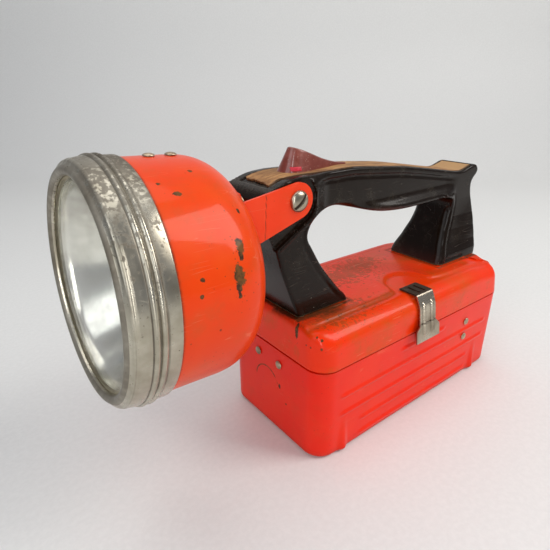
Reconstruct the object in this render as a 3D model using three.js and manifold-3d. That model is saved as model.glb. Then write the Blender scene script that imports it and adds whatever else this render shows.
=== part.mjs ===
// A box lantern: pressed steel case and hinged lid, moulded handle with a thumb switch,
// and a spun lamp head that tilts in a yoke. Millimetres, +Z up, beam towards -X, latch on -Y.
// The origin is the middle of the case's bottom.
import * as THREE from "three";
import { mergeVertices } from "three/addons/utils/BufferGeometryUtils.js";
import Module from "manifold-3d";

const wasm = await Module();
wasm.setup();

// Shared values
const fitGap = 0.3;
const cutOverrun = 2;
const slideGap = 0.4;
const arcSteps = 3;
const roundSteps = 20;
const headRound = 48;
const innerRound = 32;

// Battery, which the case is built round
const batteryLength = 102;
const batterySide = 66;
const batteryCorner = 6;
const batteryClear = 4;
const batteryHeadroom = 3.4;
const frontBay = 6;
const rearBay = 50;
const linerThick = 1;

// Lower case
const caseWall = 1;
const caseLength = batteryLength + frontBay + rearBay + 2 * caseWall;
const caseWidth = batterySide + 2 * (batteryClear + caseWall);
const caseCorner = 10.7;
const seamHeight = 51.4;
const bottomRounding = 3;
const lipRise = 3;
const lipWall = 0.8;
const lipRoot = 4;
const ribHeight = 2.8;
const ribProud = 0.9;
const footWidth = 8.5;
const footProud = 2;
const footTall = 21;
const frontFootSet = 17.5;
const rearFootSet = 23;

// Lid
const lidWall = 1;
const batteryLevel = caseWall + linerThick + 2 * fitGap;
const plateauTop = batteryLevel + batterySide + batteryHeadroom + lidWall;
const plateauStep = 1;
const shoulderTop = plateauTop - plateauStep;
const shoulderRadius = 9.5;
const shoulderWidth = 12;
const endRounding = 3;
const plateauHalf = caseWidth / 2 - shoulderWidth;
const plateauBevel = 0.9;
const plateauSink = 4;

// Latch
const latchX = -3.5;
const latchSteel = 0.8;
const latchWidth = 13.7;
const latchTabWidth = 20;
const latchSeat = 10.9;
const latchEdge = 2.8;
const latchReach = 0.9;
const latchBendRise = 4.6;
const latchFlare = 4.4;
const latchTail = 9;
const latchTabLean = 1.8;
const keeperWidth = 9;
const keeperTall = 2.2;
const keeperProud = 2.3;

// Hinge on the far side
const hingeRadius = 1.7;
const hingePin = 0.8;
const hingeLength = 60;
const hingeLeaf = 0.8;
const hingeLeafTall = 11;
const hingeKnuckles = 5;

// Handle
const handleSetBack = 4;
const handleOverhang = 16;
const handleLength = caseLength + handleOverhang - handleSetBack;
const handleRise = 67;
const legHalf = 17.2;
const legBevel = 1.2;
const noseHalf = 12.2;
const noseShoulder = 8.5;
const gripHalf = 11.4;
const gripRimHalf = 12.2;
const gripRimTall = 3;
const gripBelly = 7;
const gripCrown = 2;
const rearHalf = 19.3;
const armPocketHalf = 15;
const armPocketRadius = 11;
const stripHalf = 10.2;
const stripThick = 0.8;
const stripSink = 0.7;
const footScrewRadius = 2;
const footScrewHead = 3.8;
const footScrewHeadTall = 1.8;
const footScrewLength = 12;
const frontScrewSet = 36;
const rearScrewSet = 23;
const screwSpread = 18;
const wireBore = 2.4;

// Thumb switch
const knobLength = 42;
const knobHalf = 6.6;
const knobSet = 21.5;
const knobRise = 11.4;
const knobLean = 5.6;
const knobTopShare = 0.55;
const knobStemHalf = 1.8;
const knobStemLength = 8;
const knobStemDepth = 9;
const knobTravel = 8;
const switchPocketHalf = 6;
const switchPocketTall = 7;
const switchLeafThick = 0.5;
const switchLeafHalf = 3;
const markLength = 5.4;
const markTall = 1.9;
const markThick = 0.9;
const markTurn = 12;

// Yoke and tilt pivot
const pivotSet = 19;
const pivotDrop = 10.5;
const headTilt = 2.6;
const armThick = 1.3;
const armRadius = 8.8;
const armBendBack = 18;
const armTaper = 1.4;
const armLowEdge = 15;
const armHighEdge = 4.6;
const saddleThick = 1.2;
const saddleHalf = 12;
const screwHeadRadius = 4.7;
const screwHeadTall = 2.2;
const screwShank = 2;
const screwDepth = 5;

// Lamp head, measured back from the lens face along the beam's line
const axisDrop = 25.9;
const bowlRadius = 45.3;
const bowlWall = 1;
const bowlStraight = 37;
const bowlDepth = 25.5;
const bowlLength = bowlStraight + bowlDepth;
const headReach = 24.2;
const lensReach = headReach + bowlLength;
const bowlPower = 2.56;
const bezelSteel = 0.6;
const bezelLap = 0.5;
const bezelLip = 6.4;
const bezelRear = 16.7;
const bezelRadius = bowlRadius + bezelLap + bezelSteel;
const bezelOpening = bezelRadius - bezelLip;
const bezelBead = 0.8;
const bezelStep = 0.8;
const bezelNose = 0.9;
const bezelBeadFront = 6.8;
const bezelBeadPitch = 2.6;
const lensThick = 2.4;
const lensDome = 1.6;
const lensLap = 3.8;
const lensRadius = bezelOpening + lensLap;
const gasketThick = 1.4;
const gasketWidth = 2.3;
const reflectorWall = 0.8;
const reflectorInset = 0.5;
const reflectorRadius = bezelOpening - reflectorInset;
const reflectorGap = 23;
const reflectorDepth = bowlLength - reflectorGap;
const reflectorHole = 8.6;
const socketRadius = 6.8;
const socketLength = 11.5;
const socketFlange = 11;
const bulbBaseRadius = 4.8;
const bulbBaseLength = 7.5;
const bulbGlassRadius = 4.7;
const bulbContactRadius = 2.2;
const grommetBore = 2;
const grommetRadius = 5.2;
const grommetNeck = 3.4;
const bowlRivetRadius = 2.3;
const bowlRivetTall = 0.9;
const bowlRivetShank = 1.1;
const bowlRivetSet = 32.5;
const bowlRivetSpread = 8.6;
const clipThick = 0.6;
const clipHalf = 7;
const clipFront = 14;
const clipRear = 39;
const yokeRivetHalf = 11.9;

// Rivets of the case
const rivetRadius = 2.5;
const rivetTall = 0.9;
const rivetShank = 1.2;
const frontRivetHeight = 43.3;
const frontRivetMiddle = 1.7;
const frontRivetSpread = 17.6;
const sideRivetX = 41.7;
const sideRivetHeight = 35.8;
const sideRivetSpread = 10.5;
const bracketThick = 0.8;

// Contacts
const springWire = 0.7;
const springRadius = 5;
const springLength = 11;
const springTurns = 3;
const boardThick = 1.6;
const boardTall = 56;
const boardMargin = 3;
const contactThick = 0.5;
const contactHalf = 8;
const contactTall = 14;
const centreContactZ = 35;
const cornerContactY = 22;
const cornerContactZ = 16;

// Solids

// Merges a geometry's corners and drops its spent triangles.
function solid(geometry) {
  const bare = geometry.index ? geometry.toNonIndexed() : geometry.clone();
  bare.deleteAttribute("normal");
  bare.deleteAttribute("uv");
  const merged = mergeVertices(bare, weldShare * fitGap);
  const index = merged.index.array;
  const kept = [];
  for (let i = 0; i < index.length; i += 3) {
    const [a, b, c] = [index[i], index[i + 1], index[i + 2]];
    if (a !== b && b !== c && c !== a) kept.push(a, b, c);
  }
  const mesh = new wasm.Mesh({
    numProp: 3,
    vertProperties: new Float32Array(merged.attributes.position.array),
    triVerts: new Uint32Array(kept),
  });
  return new wasm.Manifold(mesh);
}
const weldShare = 0.0005;

function joined(first, ...others) {
  return others.reduce((sum, next) => sum.add(next), first);
}

function cut(first, ...others) {
  return others.reduce((rest, next) => rest.subtract(next), first);
}

function geometryOf(body) {
  const mesh = body.getMesh();
  const geometry = new THREE.BufferGeometry();
  geometry.setAttribute("position", new THREE.BufferAttribute(new Float32Array(mesh.vertProperties), 3));
  geometry.setIndex(new THREE.BufferAttribute(new Uint32Array(mesh.triVerts), 1));
  geometry.computeVertexNormals();
  return geometry;
}

// Shapes

function polygon(points) {
  return new THREE.Shape(points.map(([x, y]) => new THREE.Vector2(x, y)));
}

function roundedRect(width, height, radius) {
  const [x, y] = [width / 2, height / 2];
  const shape = new THREE.Shape();
  shape.moveTo(-x + radius, -y);
  shape.lineTo(x - radius, -y);
  shape.absarc(x - radius, -y + radius, radius, -Math.PI / 2, 0, false);
  shape.lineTo(x, y - radius);
  shape.absarc(x - radius, y - radius, radius, 0, Math.PI / 2, false);
  shape.lineTo(-x + radius, y);
  shape.absarc(-x + radius, y - radius, radius, Math.PI / 2, Math.PI, false);
  shape.lineTo(-x, -y + radius);
  shape.absarc(-x + radius, -y + radius, radius, Math.PI, Math.PI * 1.5, false);
  return shape;
}

// A closed band of the given thickness whose outer side runs through the points.
function bandAlong(points, thickness) {
  const path = points.map(([x, y]) => new THREE.Vector2(x, y));
  const offset = path.map((point, i) => {
    const back = path[Math.max(i - 1, 0)];
    const ahead = path[Math.min(i + 1, path.length - 1)];
    const before = point.clone().sub(back).normalize();
    const after = ahead.clone().sub(point).normalize();
    const along = before.add(after).normalize();
    const cosine = Math.max(Math.abs(along.dot(i ? point.clone().sub(back).normalize() : along)), minMitreShare);
    const normal = new THREE.Vector2(along.y, -along.x);
    return point.clone().add(normal.multiplyScalar(thickness / cosine));
  });
  return new THREE.Shape([...path, ...offset.reverse()]);
}
const minMitreShare = 0.5;

const plainExtrude = { bevelEnabled: false, curveSegments: arcSteps, steps: 1 };

// Extrudes a plan outline (x, y) upwards from a level.
function riseFrom(shape, level, height, options = {}) {
  const geometry = new THREE.ExtrudeGeometry(shape, { ...plainExtrude, depth: height, ...options });
  return solid(geometry.translate(0, 0, level));
}

// Extrudes a side outline (x, z) across, centred on the given y.
function spanAcross(shape, middle, width, options = {}) {
  const geometry = new THREE.ExtrudeGeometry(shape, { ...plainExtrude, depth: width, ...options });
  return solid(geometry.rotateX(Math.PI / 2).translate(0, middle + width / 2, 0));
}

// Extrudes an end outline (y, z) along, from the given x.
function runAlong(shape, start, length, options = {}) {
  const geometry = new THREE.ExtrudeGeometry(shape, { ...plainExtrude, depth: length, ...options });
  const turn = new THREE.Matrix4().makeBasis(
    new THREE.Vector3(0, 1, 0),
    new THREE.Vector3(0, 0, 1),
    new THREE.Vector3(1, 0, 0),
  );
  return solid(geometry.applyMatrix4(turn).translate(start, 0, 0));
}

// Sweeps an end outline along a side curve that runs towards -X, so that the outline stays upright.
function sweepAlong(shape, curve, steps) {
  const path = new THREE.CatmullRomCurve3(curve.map(([x, z]) => new THREE.Vector3(x, 0, z)));
  return solid(new THREE.ExtrudeGeometry(shape, { ...plainExtrude, steps, extrudePath: path }));
}

// Revolves a closed profile of (back, radius) points about the beam's line; back is +X.
function revolve(profile, steps) {
  const area = profile.reduce((sum, [x, r], i) => {
    const [nextX, nextR] = profile[(i + 1) % profile.length];
    return sum + x * nextR - nextX * r;
  }, 0);
  const points = (area > 0 ? [...profile] : [...profile].reverse());
  const onAxis = points.every(([, r]) => r > 0) ? [...points, points[0]] : startOnAxis(points);
  const outline = onAxis.map(([x, r]) => new THREE.Vector2(r, -x));
  return solid(new THREE.LatheGeometry(outline, steps).rotateZ(Math.PI / 2));
}

// Turns a profile that touches the axis so that it starts and ends there.
function startOnAxis(points) {
  const first = points.findIndex(([, r], i) => r === 0 && points[(i + 1) % points.length][1] > 0);
  return [...points.slice(first), ...points.slice(0, first)];
}

function rodAlongX(radius, start, length, y, z, steps = roundSteps) {
  const geometry = new THREE.CylinderGeometry(radius, radius, length, steps);
  return solid(geometry.rotateZ(Math.PI / 2).translate(start + length / 2, y, z));
}

function rodAlongY(radius, start, length, x, z, steps = roundSteps) {
  const geometry = new THREE.CylinderGeometry(radius, radius, length, steps);
  return solid(geometry.translate(x, start + length / 2, z));
}

function rodUp(radius, level, height, x, y, steps = roundSteps) {
  const geometry = new THREE.CylinderGeometry(radius, radius, height, steps);
  return solid(geometry.rotateX(Math.PI / 2).translate(x, y, level + height / 2));
}

function block(x, y, z, length, width, height) {
  const geometry = new THREE.BoxGeometry(length, width, height);
  return solid(geometry.translate(x + length / 2, y + width / 2, z + height / 2));
}

// A round-headed rivet or screw with its shank down -Z and its head on z = 0.
function domedPin(headRadius, headTall, shankRadius, shankLength, steps) {
  const crown = [];
  for (let i = 0; i <= arcSteps; i += 1) {
    const turn = (i / arcSteps) * Math.PI / 2;
    crown.push(new THREE.Vector2(headRadius * Math.cos(turn), headTall * Math.sin(turn)));
  }
  crown[crown.length - 1].x = 0;
  const outline = [
    new THREE.Vector2(0, -shankLength),
    new THREE.Vector2(shankRadius, -shankLength),
    new THREE.Vector2(shankRadius, 0),
    ...crown,
  ];
  return new THREE.LatheGeometry(outline, steps).rotateX(Math.PI / 2);
}

// Nodes

const finishes = {
  casePaint: { color: 0xe2332a, roughness: 0.4, metalness: 0 },
  lidPaint: { color: 0xd8421f, roughness: 0.45, metalness: 0 },
  bowlPaint: { color: 0xd9541c, roughness: 0.35, metalness: 0 },
  brightSteel: { color: 0xc9c8c2, roughness: 0.28, metalness: 1 },
  springSteel: { color: 0xa9a8a2, roughness: 0.35, metalness: 1 },
  blackPlastic: { color: 0x14171a, roughness: 0.25, metalness: 0 },
  tanCard: { color: 0xb99763, roughness: 0.85, metalness: 0 },
  knobPlastic: { color: 0x5a1f1a, roughness: 0.3, metalness: 0 },
  redMark: { color: 0xc81f33, roughness: 0.4, metalness: 0 },
  glass: { color: 0xe8efec, roughness: 0.08, metalness: 0 },
  mirror: { color: 0xe6e6e0, roughness: 0.1, metalness: 1 },
  rubber: { color: 0x1b1b1a, roughness: 0.8, metalness: 0 },
  brass: { color: 0xb08d45, roughness: 0.35, metalness: 1 },
  board: { color: 0x6b4a2c, roughness: 0.8, metalness: 0 },
  wrapper: { color: 0x2c3f63, roughness: 0.5, metalness: 0 },
};

function piece(name, body, finish, parent) {
  const geometry = body.isBufferGeometry ? body : geometryOf(body);
  const mesh = new THREE.Mesh(geometry, new THREE.MeshStandardMaterial(finishes[finish]));
  mesh.name = name;
  parent.add(mesh);
  return mesh;
}

// A rivet or screw placed at a point, its head facing along the given direction.
function pinAt(name, geometry, place, facing, finish, parent) {
  const mesh = new THREE.Mesh(geometry, new THREE.MeshStandardMaterial(finishes[finish]));
  mesh.name = name;
  mesh.position.set(...place);
  mesh.quaternion.setFromUnitVectors(new THREE.Vector3(0, 0, 1), new THREE.Vector3(...facing).normalize());
  parent.add(mesh);
  return mesh;
}

// The same pin as a cutter with clearance all round.
function pinHole(place, facing, radius, depth) {
  const geometry = new THREE.CylinderGeometry(radius, radius, depth * 2, roundSteps / 2);
  geometry.rotateX(Math.PI / 2);
  const turn = new THREE.Quaternion().setFromUnitVectors(
    new THREE.Vector3(0, 0, 1),
    new THREE.Vector3(...facing).normalize(),
  );
  geometry.applyQuaternion(turn);
  return solid(geometry.translate(...place));
}

const group = new THREE.Group();
const near = -caseWidth / 2;
const far = caseWidth / 2;
const front = -caseLength / 2;
const rear = caseLength / 2;
const batteryFront = front + caseWall + frontBay;

// Lower case

function planOf(inset) {
  return roundedRect(caseLength - 2 * inset, caseWidth - 2 * inset, caseCorner - inset);
}

function caseShell() {
  const bevel = {
    bevelEnabled: true,
    bevelThickness: bottomRounding,
    bevelSize: bottomRounding,
    bevelSegments: 3,
  };
  const tall = seamHeight + lipRise;
  const outer = riseFrom(planOf(bottomRounding), bottomRounding, tall, bevel);
  const above = block(-caseLength, -caseWidth, seamHeight, 2 * caseLength, 2 * caseWidth, 2 * tall);
  const cavity = riseFrom(planOf(caseWall), caseWall, tall);
  return cut(outer, above, cavity);
}

function seamLip() {
  const inset = lidWall + fitGap;
  const hole = riseFrom(planOf(inset + lipWall), 0, 2 * seamHeight);
  const root = riseFrom(planOf(caseWall / 2), seamHeight - lipRoot, lipRoot);
  const lip = riseFrom(planOf(inset), seamHeight - lipRoot, lipRoot + lipRise);
  return cut(joined(root, lip), hole);
}

// A pressed rib that stands out from both long sides.
function sideRib(height, start, end) {
  const bar = roundedRect(end - start, ribHeight, ribHeight / 2 - fitGap);
  const options = { bevelEnabled: true, bevelThickness: ribProud, bevelSize: -ribProud, bevelSegments: 2 };
  const geometry = spanAcross(bar, 0, caseWidth, options);
  return geometry.translate([(start + end) / 2, 0, height]);
}

// Each rib's height as a share of the seam's, and its ends as shares of the case's length.
const ribShares = [
  [0.101, -0.306, 0.306],
  [0.284, -0.306, 0.306],
  [0.473, -0.4, 0.4],
  [0.681, -0.4, 0.4],
];
const latchRibShare = [0.866, -0.12, 0.11];

function ribFrom([up, start, end]) {
  return sideRib(up * seamHeight, start * caseLength, end * caseLength);
}

// The long ribs show on both sides, the short one under the latch on the near side only.
function caseRibs() {
  const farHalf = block(-caseLength, 0, 0, 2 * caseLength, caseWidth, seamHeight);
  return [...ribShares.map(ribFrom), cut(ribFrom(latchRibShare), farHalf)];
}

// The bulges at the foot of each long side, which fade out upwards.
function footBulges() {
  const bulges = [];
  for (const x of [frontFootSet - caseLength / 2, caseLength / 2 - rearFootSet]) {
    for (const y of [-1, 1]) {
      const cone = new THREE.CylinderGeometry(footWidth / 8, footWidth / 2, footTall, roundSteps / 2);
      cone.rotateX(Math.PI / 2).scale(1, footProud / (footWidth / 2), 1);
      cone.translate(x, y * caseWidth / 2, footTall / 2);
      bulges.push(solid(cone));
    }
  }
  return bulges;
}

function frontRivetPlaces() {
  return [1, -1].map((side) => [front, frontRivetMiddle + side * frontRivetSpread / 2, frontRivetHeight]);
}

function sideRivetPlaces() {
  return [1, -1].map((side) => [sideRivetX, near, sideRivetHeight + side * sideRivetSpread / 2]);
}

function lowerCase() {
  const proud = joined(...footBulges(), ...caseRibs());
  const core = riseFrom(planOf(caseWall / 2), caseWall / 2, seamHeight);
  const outside = cut(proud, core);
  const keep = riseFrom(planOf(-footProud), 0, seamHeight);
  let body = joined(caseShell(), seamLip(), outside.intersect(keep));
  for (const place of frontRivetPlaces()) body = body.subtract(pinHole(place, [-1, 0, 0], rivetShank + fitGap, cutOverrun));
  for (const place of sideRivetPlaces()) body = body.subtract(pinHole(place, [0, -1, 0], rivetShank + fitGap, cutOverrun));
  return body;
}

piece("lower_case", lowerCase(), "casePaint", group);

const rivetLength = caseWall + bracketThick + 2 * fitGap;
frontRivetPlaces().forEach(([x, y, z], i) => {
  const pin = domedPin(rivetRadius, rivetTall, rivetShank, rivetLength + fitGap, roundSteps / 2);
  pinAt(`front_rivet_${i + 1}`, pin, [x - fitGap, y, z], [-1, 0, 0], "springSteel", group);
});
sideRivetPlaces().forEach(([x, y, z], i) => {
  const pin = domedPin(rivetRadius, rivetTall, rivetShank, rivetLength + fitGap, roundSteps / 2);
  pinAt(`side_rivet_${i + 1}`, pin, [x, y - fitGap, z], [0, -1, 0], "springSteel", group);
});

// The hook plate on the near side that the latch springs over.
function catchKeeper() {
  const top = seamHeight - 2 * fitGap;
  const profile = polygon([
    [near - fitGap, top],
    [near - fitGap, top - keeperTall * 2],
    [near - fitGap - latchSteel, top - keeperTall * 2],
    [near - fitGap - latchSteel, top - keeperTall],
    [near - fitGap - keeperProud, top - latchSteel],
    [near - fitGap - keeperProud, top],
  ]);
  return runAlong(profile, latchX - keeperWidth / 2, keeperWidth);
}
piece("catch_keeper", catchKeeper(), "springSteel", group);

// Leaf spring on the front wall, held by the two rivets there.
function frontSpring() {
  const wallX = front + caseWall + fitGap;
  const reach = batteryFront - wallX - fitGap;
  const tall = frontRivetHeight - caseWall - linerThick - batteryCorner;
  const profile = [
    [wallX, frontRivetHeight + rivetRadius],
    [wallX, frontRivetHeight - rivetRadius],
    [wallX + reach - bracketThick - fitGap / 3, frontRivetHeight - tall / 2],
    [wallX, frontRivetHeight - tall],
  ];
  const half = frontRivetSpread / 2 + rivetRadius;
  let body = spanAcross(bandAlong(profile, -bracketThick), frontRivetMiddle, 2 * half);
  for (const place of frontRivetPlaces()) body = body.subtract(pinHole(place, [-1, 0, 0], rivetShank + fitGap, 2 * rivetLength));
  return body;
}
piece("battery_spring_leaf", frontSpring(), "springSteel", group);

// Insulating liner under the battery.
const linerLevel = caseWall + fitGap;
piece(
  "battery_liner",
  block(batteryFront, -batterySide / 2, linerLevel, batteryLength, batterySide, linerThick),
  "board",
  group,
);

// Battery
const batteryMiddle = batteryLevel + batterySide / 2;
const batteryRear = batteryFront + batteryLength;
const springRear = batteryRear + springLength;
const boardHalf = far - caseWall - boardMargin;
const boardX = springRear + contactThick + 2 * fitGap;

piece(
  "battery_block",
  runAlong(roundedRect(batterySide, batterySide, batteryCorner), batteryFront, batteryLength)
    .translate([0, 0, batteryMiddle]),
  "wrapper",
  group,
);

// A battery's terminal spring: a tapering coil that ends flat at both sides.
function terminalSpring(y, z) {
  class Coil extends THREE.Curve {
    getPoint(share, target = new THREE.Vector3()) {
      const turn = share * springTurns * Math.PI * 2;
      const radius = springRadius * (1 - share / 2);
      const run = springWire + fitGap + share * (springLength - 2 * springWire - fitGap);
      return target.set(batteryRear + run, y + radius * Math.cos(turn), z + radius * Math.sin(turn));
    }
  }
  const wire = new THREE.Shape();
  wire.absarc(0, 0, springWire, 0, Math.PI * 2, false);
  const steps = springTurns * arcSteps * 2;
  return solid(new THREE.ExtrudeGeometry(wire, { steps, curveSegments: 3, bevelEnabled: false, extrudePath: new Coil() }));
}
const centreTerminal = [0, centreContactZ];
const cornerTerminal = [cornerContactY, cornerContactZ];
piece("battery_terminal_centre", terminalSpring(...centreTerminal), "brightSteel", group);
piece("battery_terminal_corner", terminalSpring(...cornerTerminal), "brightSteel", group);

// Contact board across the case behind the battery.
function contactBoard() {
  const level = caseWall + fitGap;
  return block(boardX, -boardHalf, level, boardThick, 2 * boardHalf, boardTall);
}
piece("contact_board", contactBoard(), "board", group);

function contactPlate([y, z]) {
  const x = boardX - fitGap - contactThick;
  return block(x, y - contactHalf, z - contactTall / 2, contactThick, 2 * contactHalf, contactTall);
}
piece("contact_plate_centre", contactPlate(centreTerminal), "brass", group);
piece("contact_plate_corner", contactPlate(cornerTerminal), "brass", group);

// Angle bracket that ties the board to the near wall, on the two side rivets.
function boardBracket() {
  const wallY = near + caseWall + fitGap;
  const tall = sideRivetSpread + 4 * rivetRadius;
  const level = sideRivetHeight - tall / 2;
  const boardRear = boardX + boardThick + fitGap;
  const start = sideRivetX - 2 * rivetRadius;
  const end = Math.max(boardRear + bracketThick, sideRivetX + 2 * rivetRadius);
  const wallLeaf = block(start, wallY, level, end - start, bracketThick, tall);
  const boardLeaf = block(boardRear, wallY, level, bracketThick, -near - boardHalf + 3 * rivetRadius, tall);
  let body = joined(wallLeaf, boardLeaf);
  for (const place of sideRivetPlaces()) body = body.subtract(pinHole(place, [0, -1, 0], rivetShank + fitGap, 2 * rivetLength));
  return body;
}
piece("board_bracket", boardBracket(), "springSteel", group);

// Hinge

const hingeY = far + fitGap + hingeRadius;
const hingeZ = seamHeight + fitGap / 2;
const knuckle = hingeLength / hingeKnuckles;

function knuckleBarrels(odd) {
  const barrels = [];
  for (let i = odd; i < hingeKnuckles; i += 2) {
    const start = -hingeLength / 2 + i * knuckle + fitGap / 2;
    const length = knuckle - fitGap;
    const web = odd ? hingeZ : hingeZ - 2 * hingeRadius;
    barrels.push(rodAlongX(hingeRadius, start, length, hingeY, hingeZ, roundSteps / 2));
    barrels.push(block(start, far + fitGap, web, length, hingeLeaf, 2 * hingeRadius));
  }
  return barrels;
}

function hingeHalf(odd) {
  const spare = hingeRadius + 2 * fitGap;
  const level = odd ? hingeZ + spare : hingeZ - spare - hingeLeafTall;
  const leaf = block(-hingeLength / 2, far + fitGap, level, hingeLength, hingeLeaf, hingeLeafTall);
  const bore = rodAlongX(hingePin + fitGap, -hingeLength, 2 * hingeLength, hingeY, hingeZ, roundSteps / 2);
  return cut(joined(leaf, ...knuckleBarrels(odd)), bore);
}
piece("hinge_leaf_case", hingeHalf(0), "springSteel", group);
piece("hinge_pin", rodAlongX(hingePin, -hingeLength / 2, hingeLength, hingeY, hingeZ, roundSteps / 2), "springSteel", group);

// Lid

const lid = new THREE.Group();
group.add(lid);

// The end outline of the lid's shoulders, shrunk by an inset.
function shoulderSection(inset) {
  const half = caseWidth / 2 - inset;
  const top = shoulderTop - inset;
  const radius = shoulderRadius - inset;
  const shape = new THREE.Shape();
  shape.moveTo(-half, 0);
  shape.lineTo(half, 0);
  shape.lineTo(half, top - radius);
  shape.absarc(half - radius, top - radius, radius, 0, Math.PI / 2, false);
  shape.lineTo(-half + radius, top);
  shape.absarc(-half + radius, top - radius, radius, Math.PI / 2, Math.PI, false);
  return shape;
}

// The side outline of the lid's ends, shrunk by an inset.
function endSection(level, inset) {
  const half = caseLength / 2 - inset;
  const top = level - inset;
  const radius = endRounding;
  const shape = new THREE.Shape();
  shape.moveTo(-half, 0);
  shape.lineTo(half, 0);
  shape.lineTo(half, top - radius);
  shape.absarc(half - radius, top - radius, radius, 0, Math.PI / 2, false);
  shape.lineTo(-half + radius, top);
  shape.absarc(-half + radius, top - radius, radius, Math.PI / 2, Math.PI, false);
  return shape;
}

// Shares of the case's length and of the plateau's half width that the loop round the latch follows.
const latchLoopShares = [
  [-0.135, 1],
  [-0.098, 0.93],
  [-0.07, 0.6],
  [-0.03, 0.4],
  [0.01, 0.35],
  [0.055, 0.44],
  [0.085, 0.7],
  [0.1, 0.93],
  [0.13, 1],
];

function plateauPlan(inset) {
  const half = plateauHalf - inset;
  const end = caseLength;
  const loop = latchLoopShares.map(([along, across]) => new THREE.Vector2(
    along * caseLength,
    -across * plateauHalf + inset,
  ));
  const shape = new THREE.Shape();
  shape.moveTo(-end, -half);
  shape.lineTo(loop[0].x - plateauBevel, -half);
  shape.splineThru(loop);
  shape.lineTo(end, -half);
  shape.lineTo(end, half);
  shape.lineTo(-end, half);
  return shape;
}

function plateau(inset) {
  const level = shoulderTop - plateauSink;
  const bevel = {
    bevelEnabled: true,
    bevelThickness: plateauBevel,
    bevelSize: plateauBevel,
    bevelSegments: 2,
    curveSegments: 2,
  };
  const height = plateauTop - inset - level - plateauBevel;
  return riseFrom(plateauPlan(inset + plateauBevel), level, height, bevel);
}

function lidForm(inset) {
  const tall = plateauTop + cutOverrun;
  const level = inset > 0 ? seamHeight - cutOverrun : seamHeight + fitGap;
  const walls = riseFrom(planOf(inset), level, tall - level);
  const shoulders = runAlong(shoulderSection(inset), -caseLength, 2 * caseLength);
  const ends = spanAcross(endSection(shoulderTop, inset), 0, 2 * caseWidth);
  const highEnds = spanAcross(endSection(plateauTop, inset), 0, 2 * caseWidth);
  const low = walls.intersect(shoulders).intersect(ends);
  const high = walls.intersect(plateau(inset)).intersect(highEnds);
  return joined(low, high);
}

const lidInside = plateauTop - lidWall;
const handleSeat = plateauTop + fitGap;
const handleRear = rear - handleSetBack;
const handleFront = handleRear - handleLength;
const frontScrewX = handleFront + frontScrewSet;
const rearScrewX = handleRear - rearScrewSet;

function footScrewPlaces() {
  const places = [];
  for (const x of [frontScrewX, rearScrewX]) {
    for (const side of [-1, 1]) places.push([x, side * screwSpread / 2, lidInside - fitGap]);
  }
  return places;
}

const wireEntryX = frontScrewX - footScrewHead / 2;

function lidShell() {
  let body = cut(lidForm(0), lidForm(lidWall));
  for (const place of footScrewPlaces()) body = body.subtract(pinHole(place, [0, 0, -1], footScrewRadius + fitGap, 3 * lidWall));
  return body.subtract(rodUp(wireBore, seamHeight, seamHeight, wireEntryX, 0, roundSteps / 2));
}
piece("lid_shell", lidShell(), "lidPaint", lid);
piece("hinge_leaf_lid", hingeHalf(1), "springSteel", lid);

// Latch clip: a flat on the lid's shoulder, a strap down the side and a flared finger tab.
function latchClip() {
  const level = shoulderTop + fitGap;
  const strapY = near - latchReach - latchSteel;
  const latchBend = seamHeight + latchBendRise;
  const path = [
    [near + latchEdge + latchSeat, level + latchSteel],
    [near + latchEdge, level + latchSteel],
    [near - latchSteel + fitGap / 3, level - latchFlare],
    [strapY, level - 2 * latchFlare],
    [strapY - latchReach, latchBend],
    [strapY - latchReach - latchTabLean / 2, latchBend - latchTail / 2],
    [strapY - latchReach - latchTabLean, latchBend - latchTail],
  ];
  const band = bandAlong(path, -latchSteel);
  const strap = runAlong(band, latchX - latchWidth / 2, latchWidth);
  const tabZone = block(
    latchX - latchTabWidth,
    2 * near,
    latchBend - 2 * latchTail,
    2 * latchTabWidth,
    caseWidth,
    2 * latchTail - latchSteel,
  );
  const tab = runAlong(band, latchX - latchTabWidth / 2, latchTabWidth).intersect(tabZone);
  return joined(strap, tab);
}
piece("latch_clip", latchClip(), "brightSteel", lid);

// Handle

const handleTop = handleSeat + handleRise;
const knobFront = handleFront + knobSet;
const pivotX = handleFront + pivotSet;
const pivotZ = handleTop - pivotDrop;

const armInner = armPocketHalf + slideGap;
const armOuter = armInner + armThick;

function handlePoint([along, up]) {
  return [handleFront + along * handleLength, handleSeat + up * handleRise];
}

function handleVectors(shares) {
  return shares.map(handlePoint).map(([x, z]) => new THREE.Vector2(x, z));
}

// Shares of the handle's length and rise: its front leg's leading edge and nose.
const leadingEdgeShares = [
  [0.116, 0],
  [0.087, 0.19],
  [0.06, 0.373],
  [0.043, 0.52],
  [0.016, 0.7],
  [0, 0.82],
];
// Where the front leg's outline ends, below the seat that cuts it off.
const soleShares = [
  [0.122, -0.05],
  [0.326, -0.05],
];
const noseShares = [
  [0, 0.862],
  [0.017, 0.912],
  [0.045, 0.942],
  [0.085, 0.978],
];
const throatShares = [
  [0.273, 0.732],
  [0.226, 0.722],
  [0.186, 0.708],
  [0.163, 0.675],
  [0.15, 0.615],
  [0.152, 0.56],
  [0.165, 0.5],
  [0.194, 0.37],
  [0.228, 0.25],
  [0.272, 0.12],
  [0.302, 0.052],
  [0.314, 0],
];
const rearLegFrontShares = [
  [0.752, 0],
  [0.772, 0.085],
  [0.795, 0.205],
  [0.823, 0.354],
  [0.838, 0.5],
  [0.84, 0.66],
];
const rearLegBackShares = [
  [0.987, 0],
  [0.99, 0.12],
  [0.99, 0.24],
  [0.981, 0.38],
  [0.962, 0.5],
  [0.944, 0.6],
  [0.938, 0.67],
  [0.948, 0.72],
  [0.984, 0.785],
];
const tailShares = [
  [0.984, 0.785],
  [0.987, 0.81],
  [0.972, 0.84],
  [0.95, 0.843],
  [0.925, 0.827],
  [0.89, 0.808],
];
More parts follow.
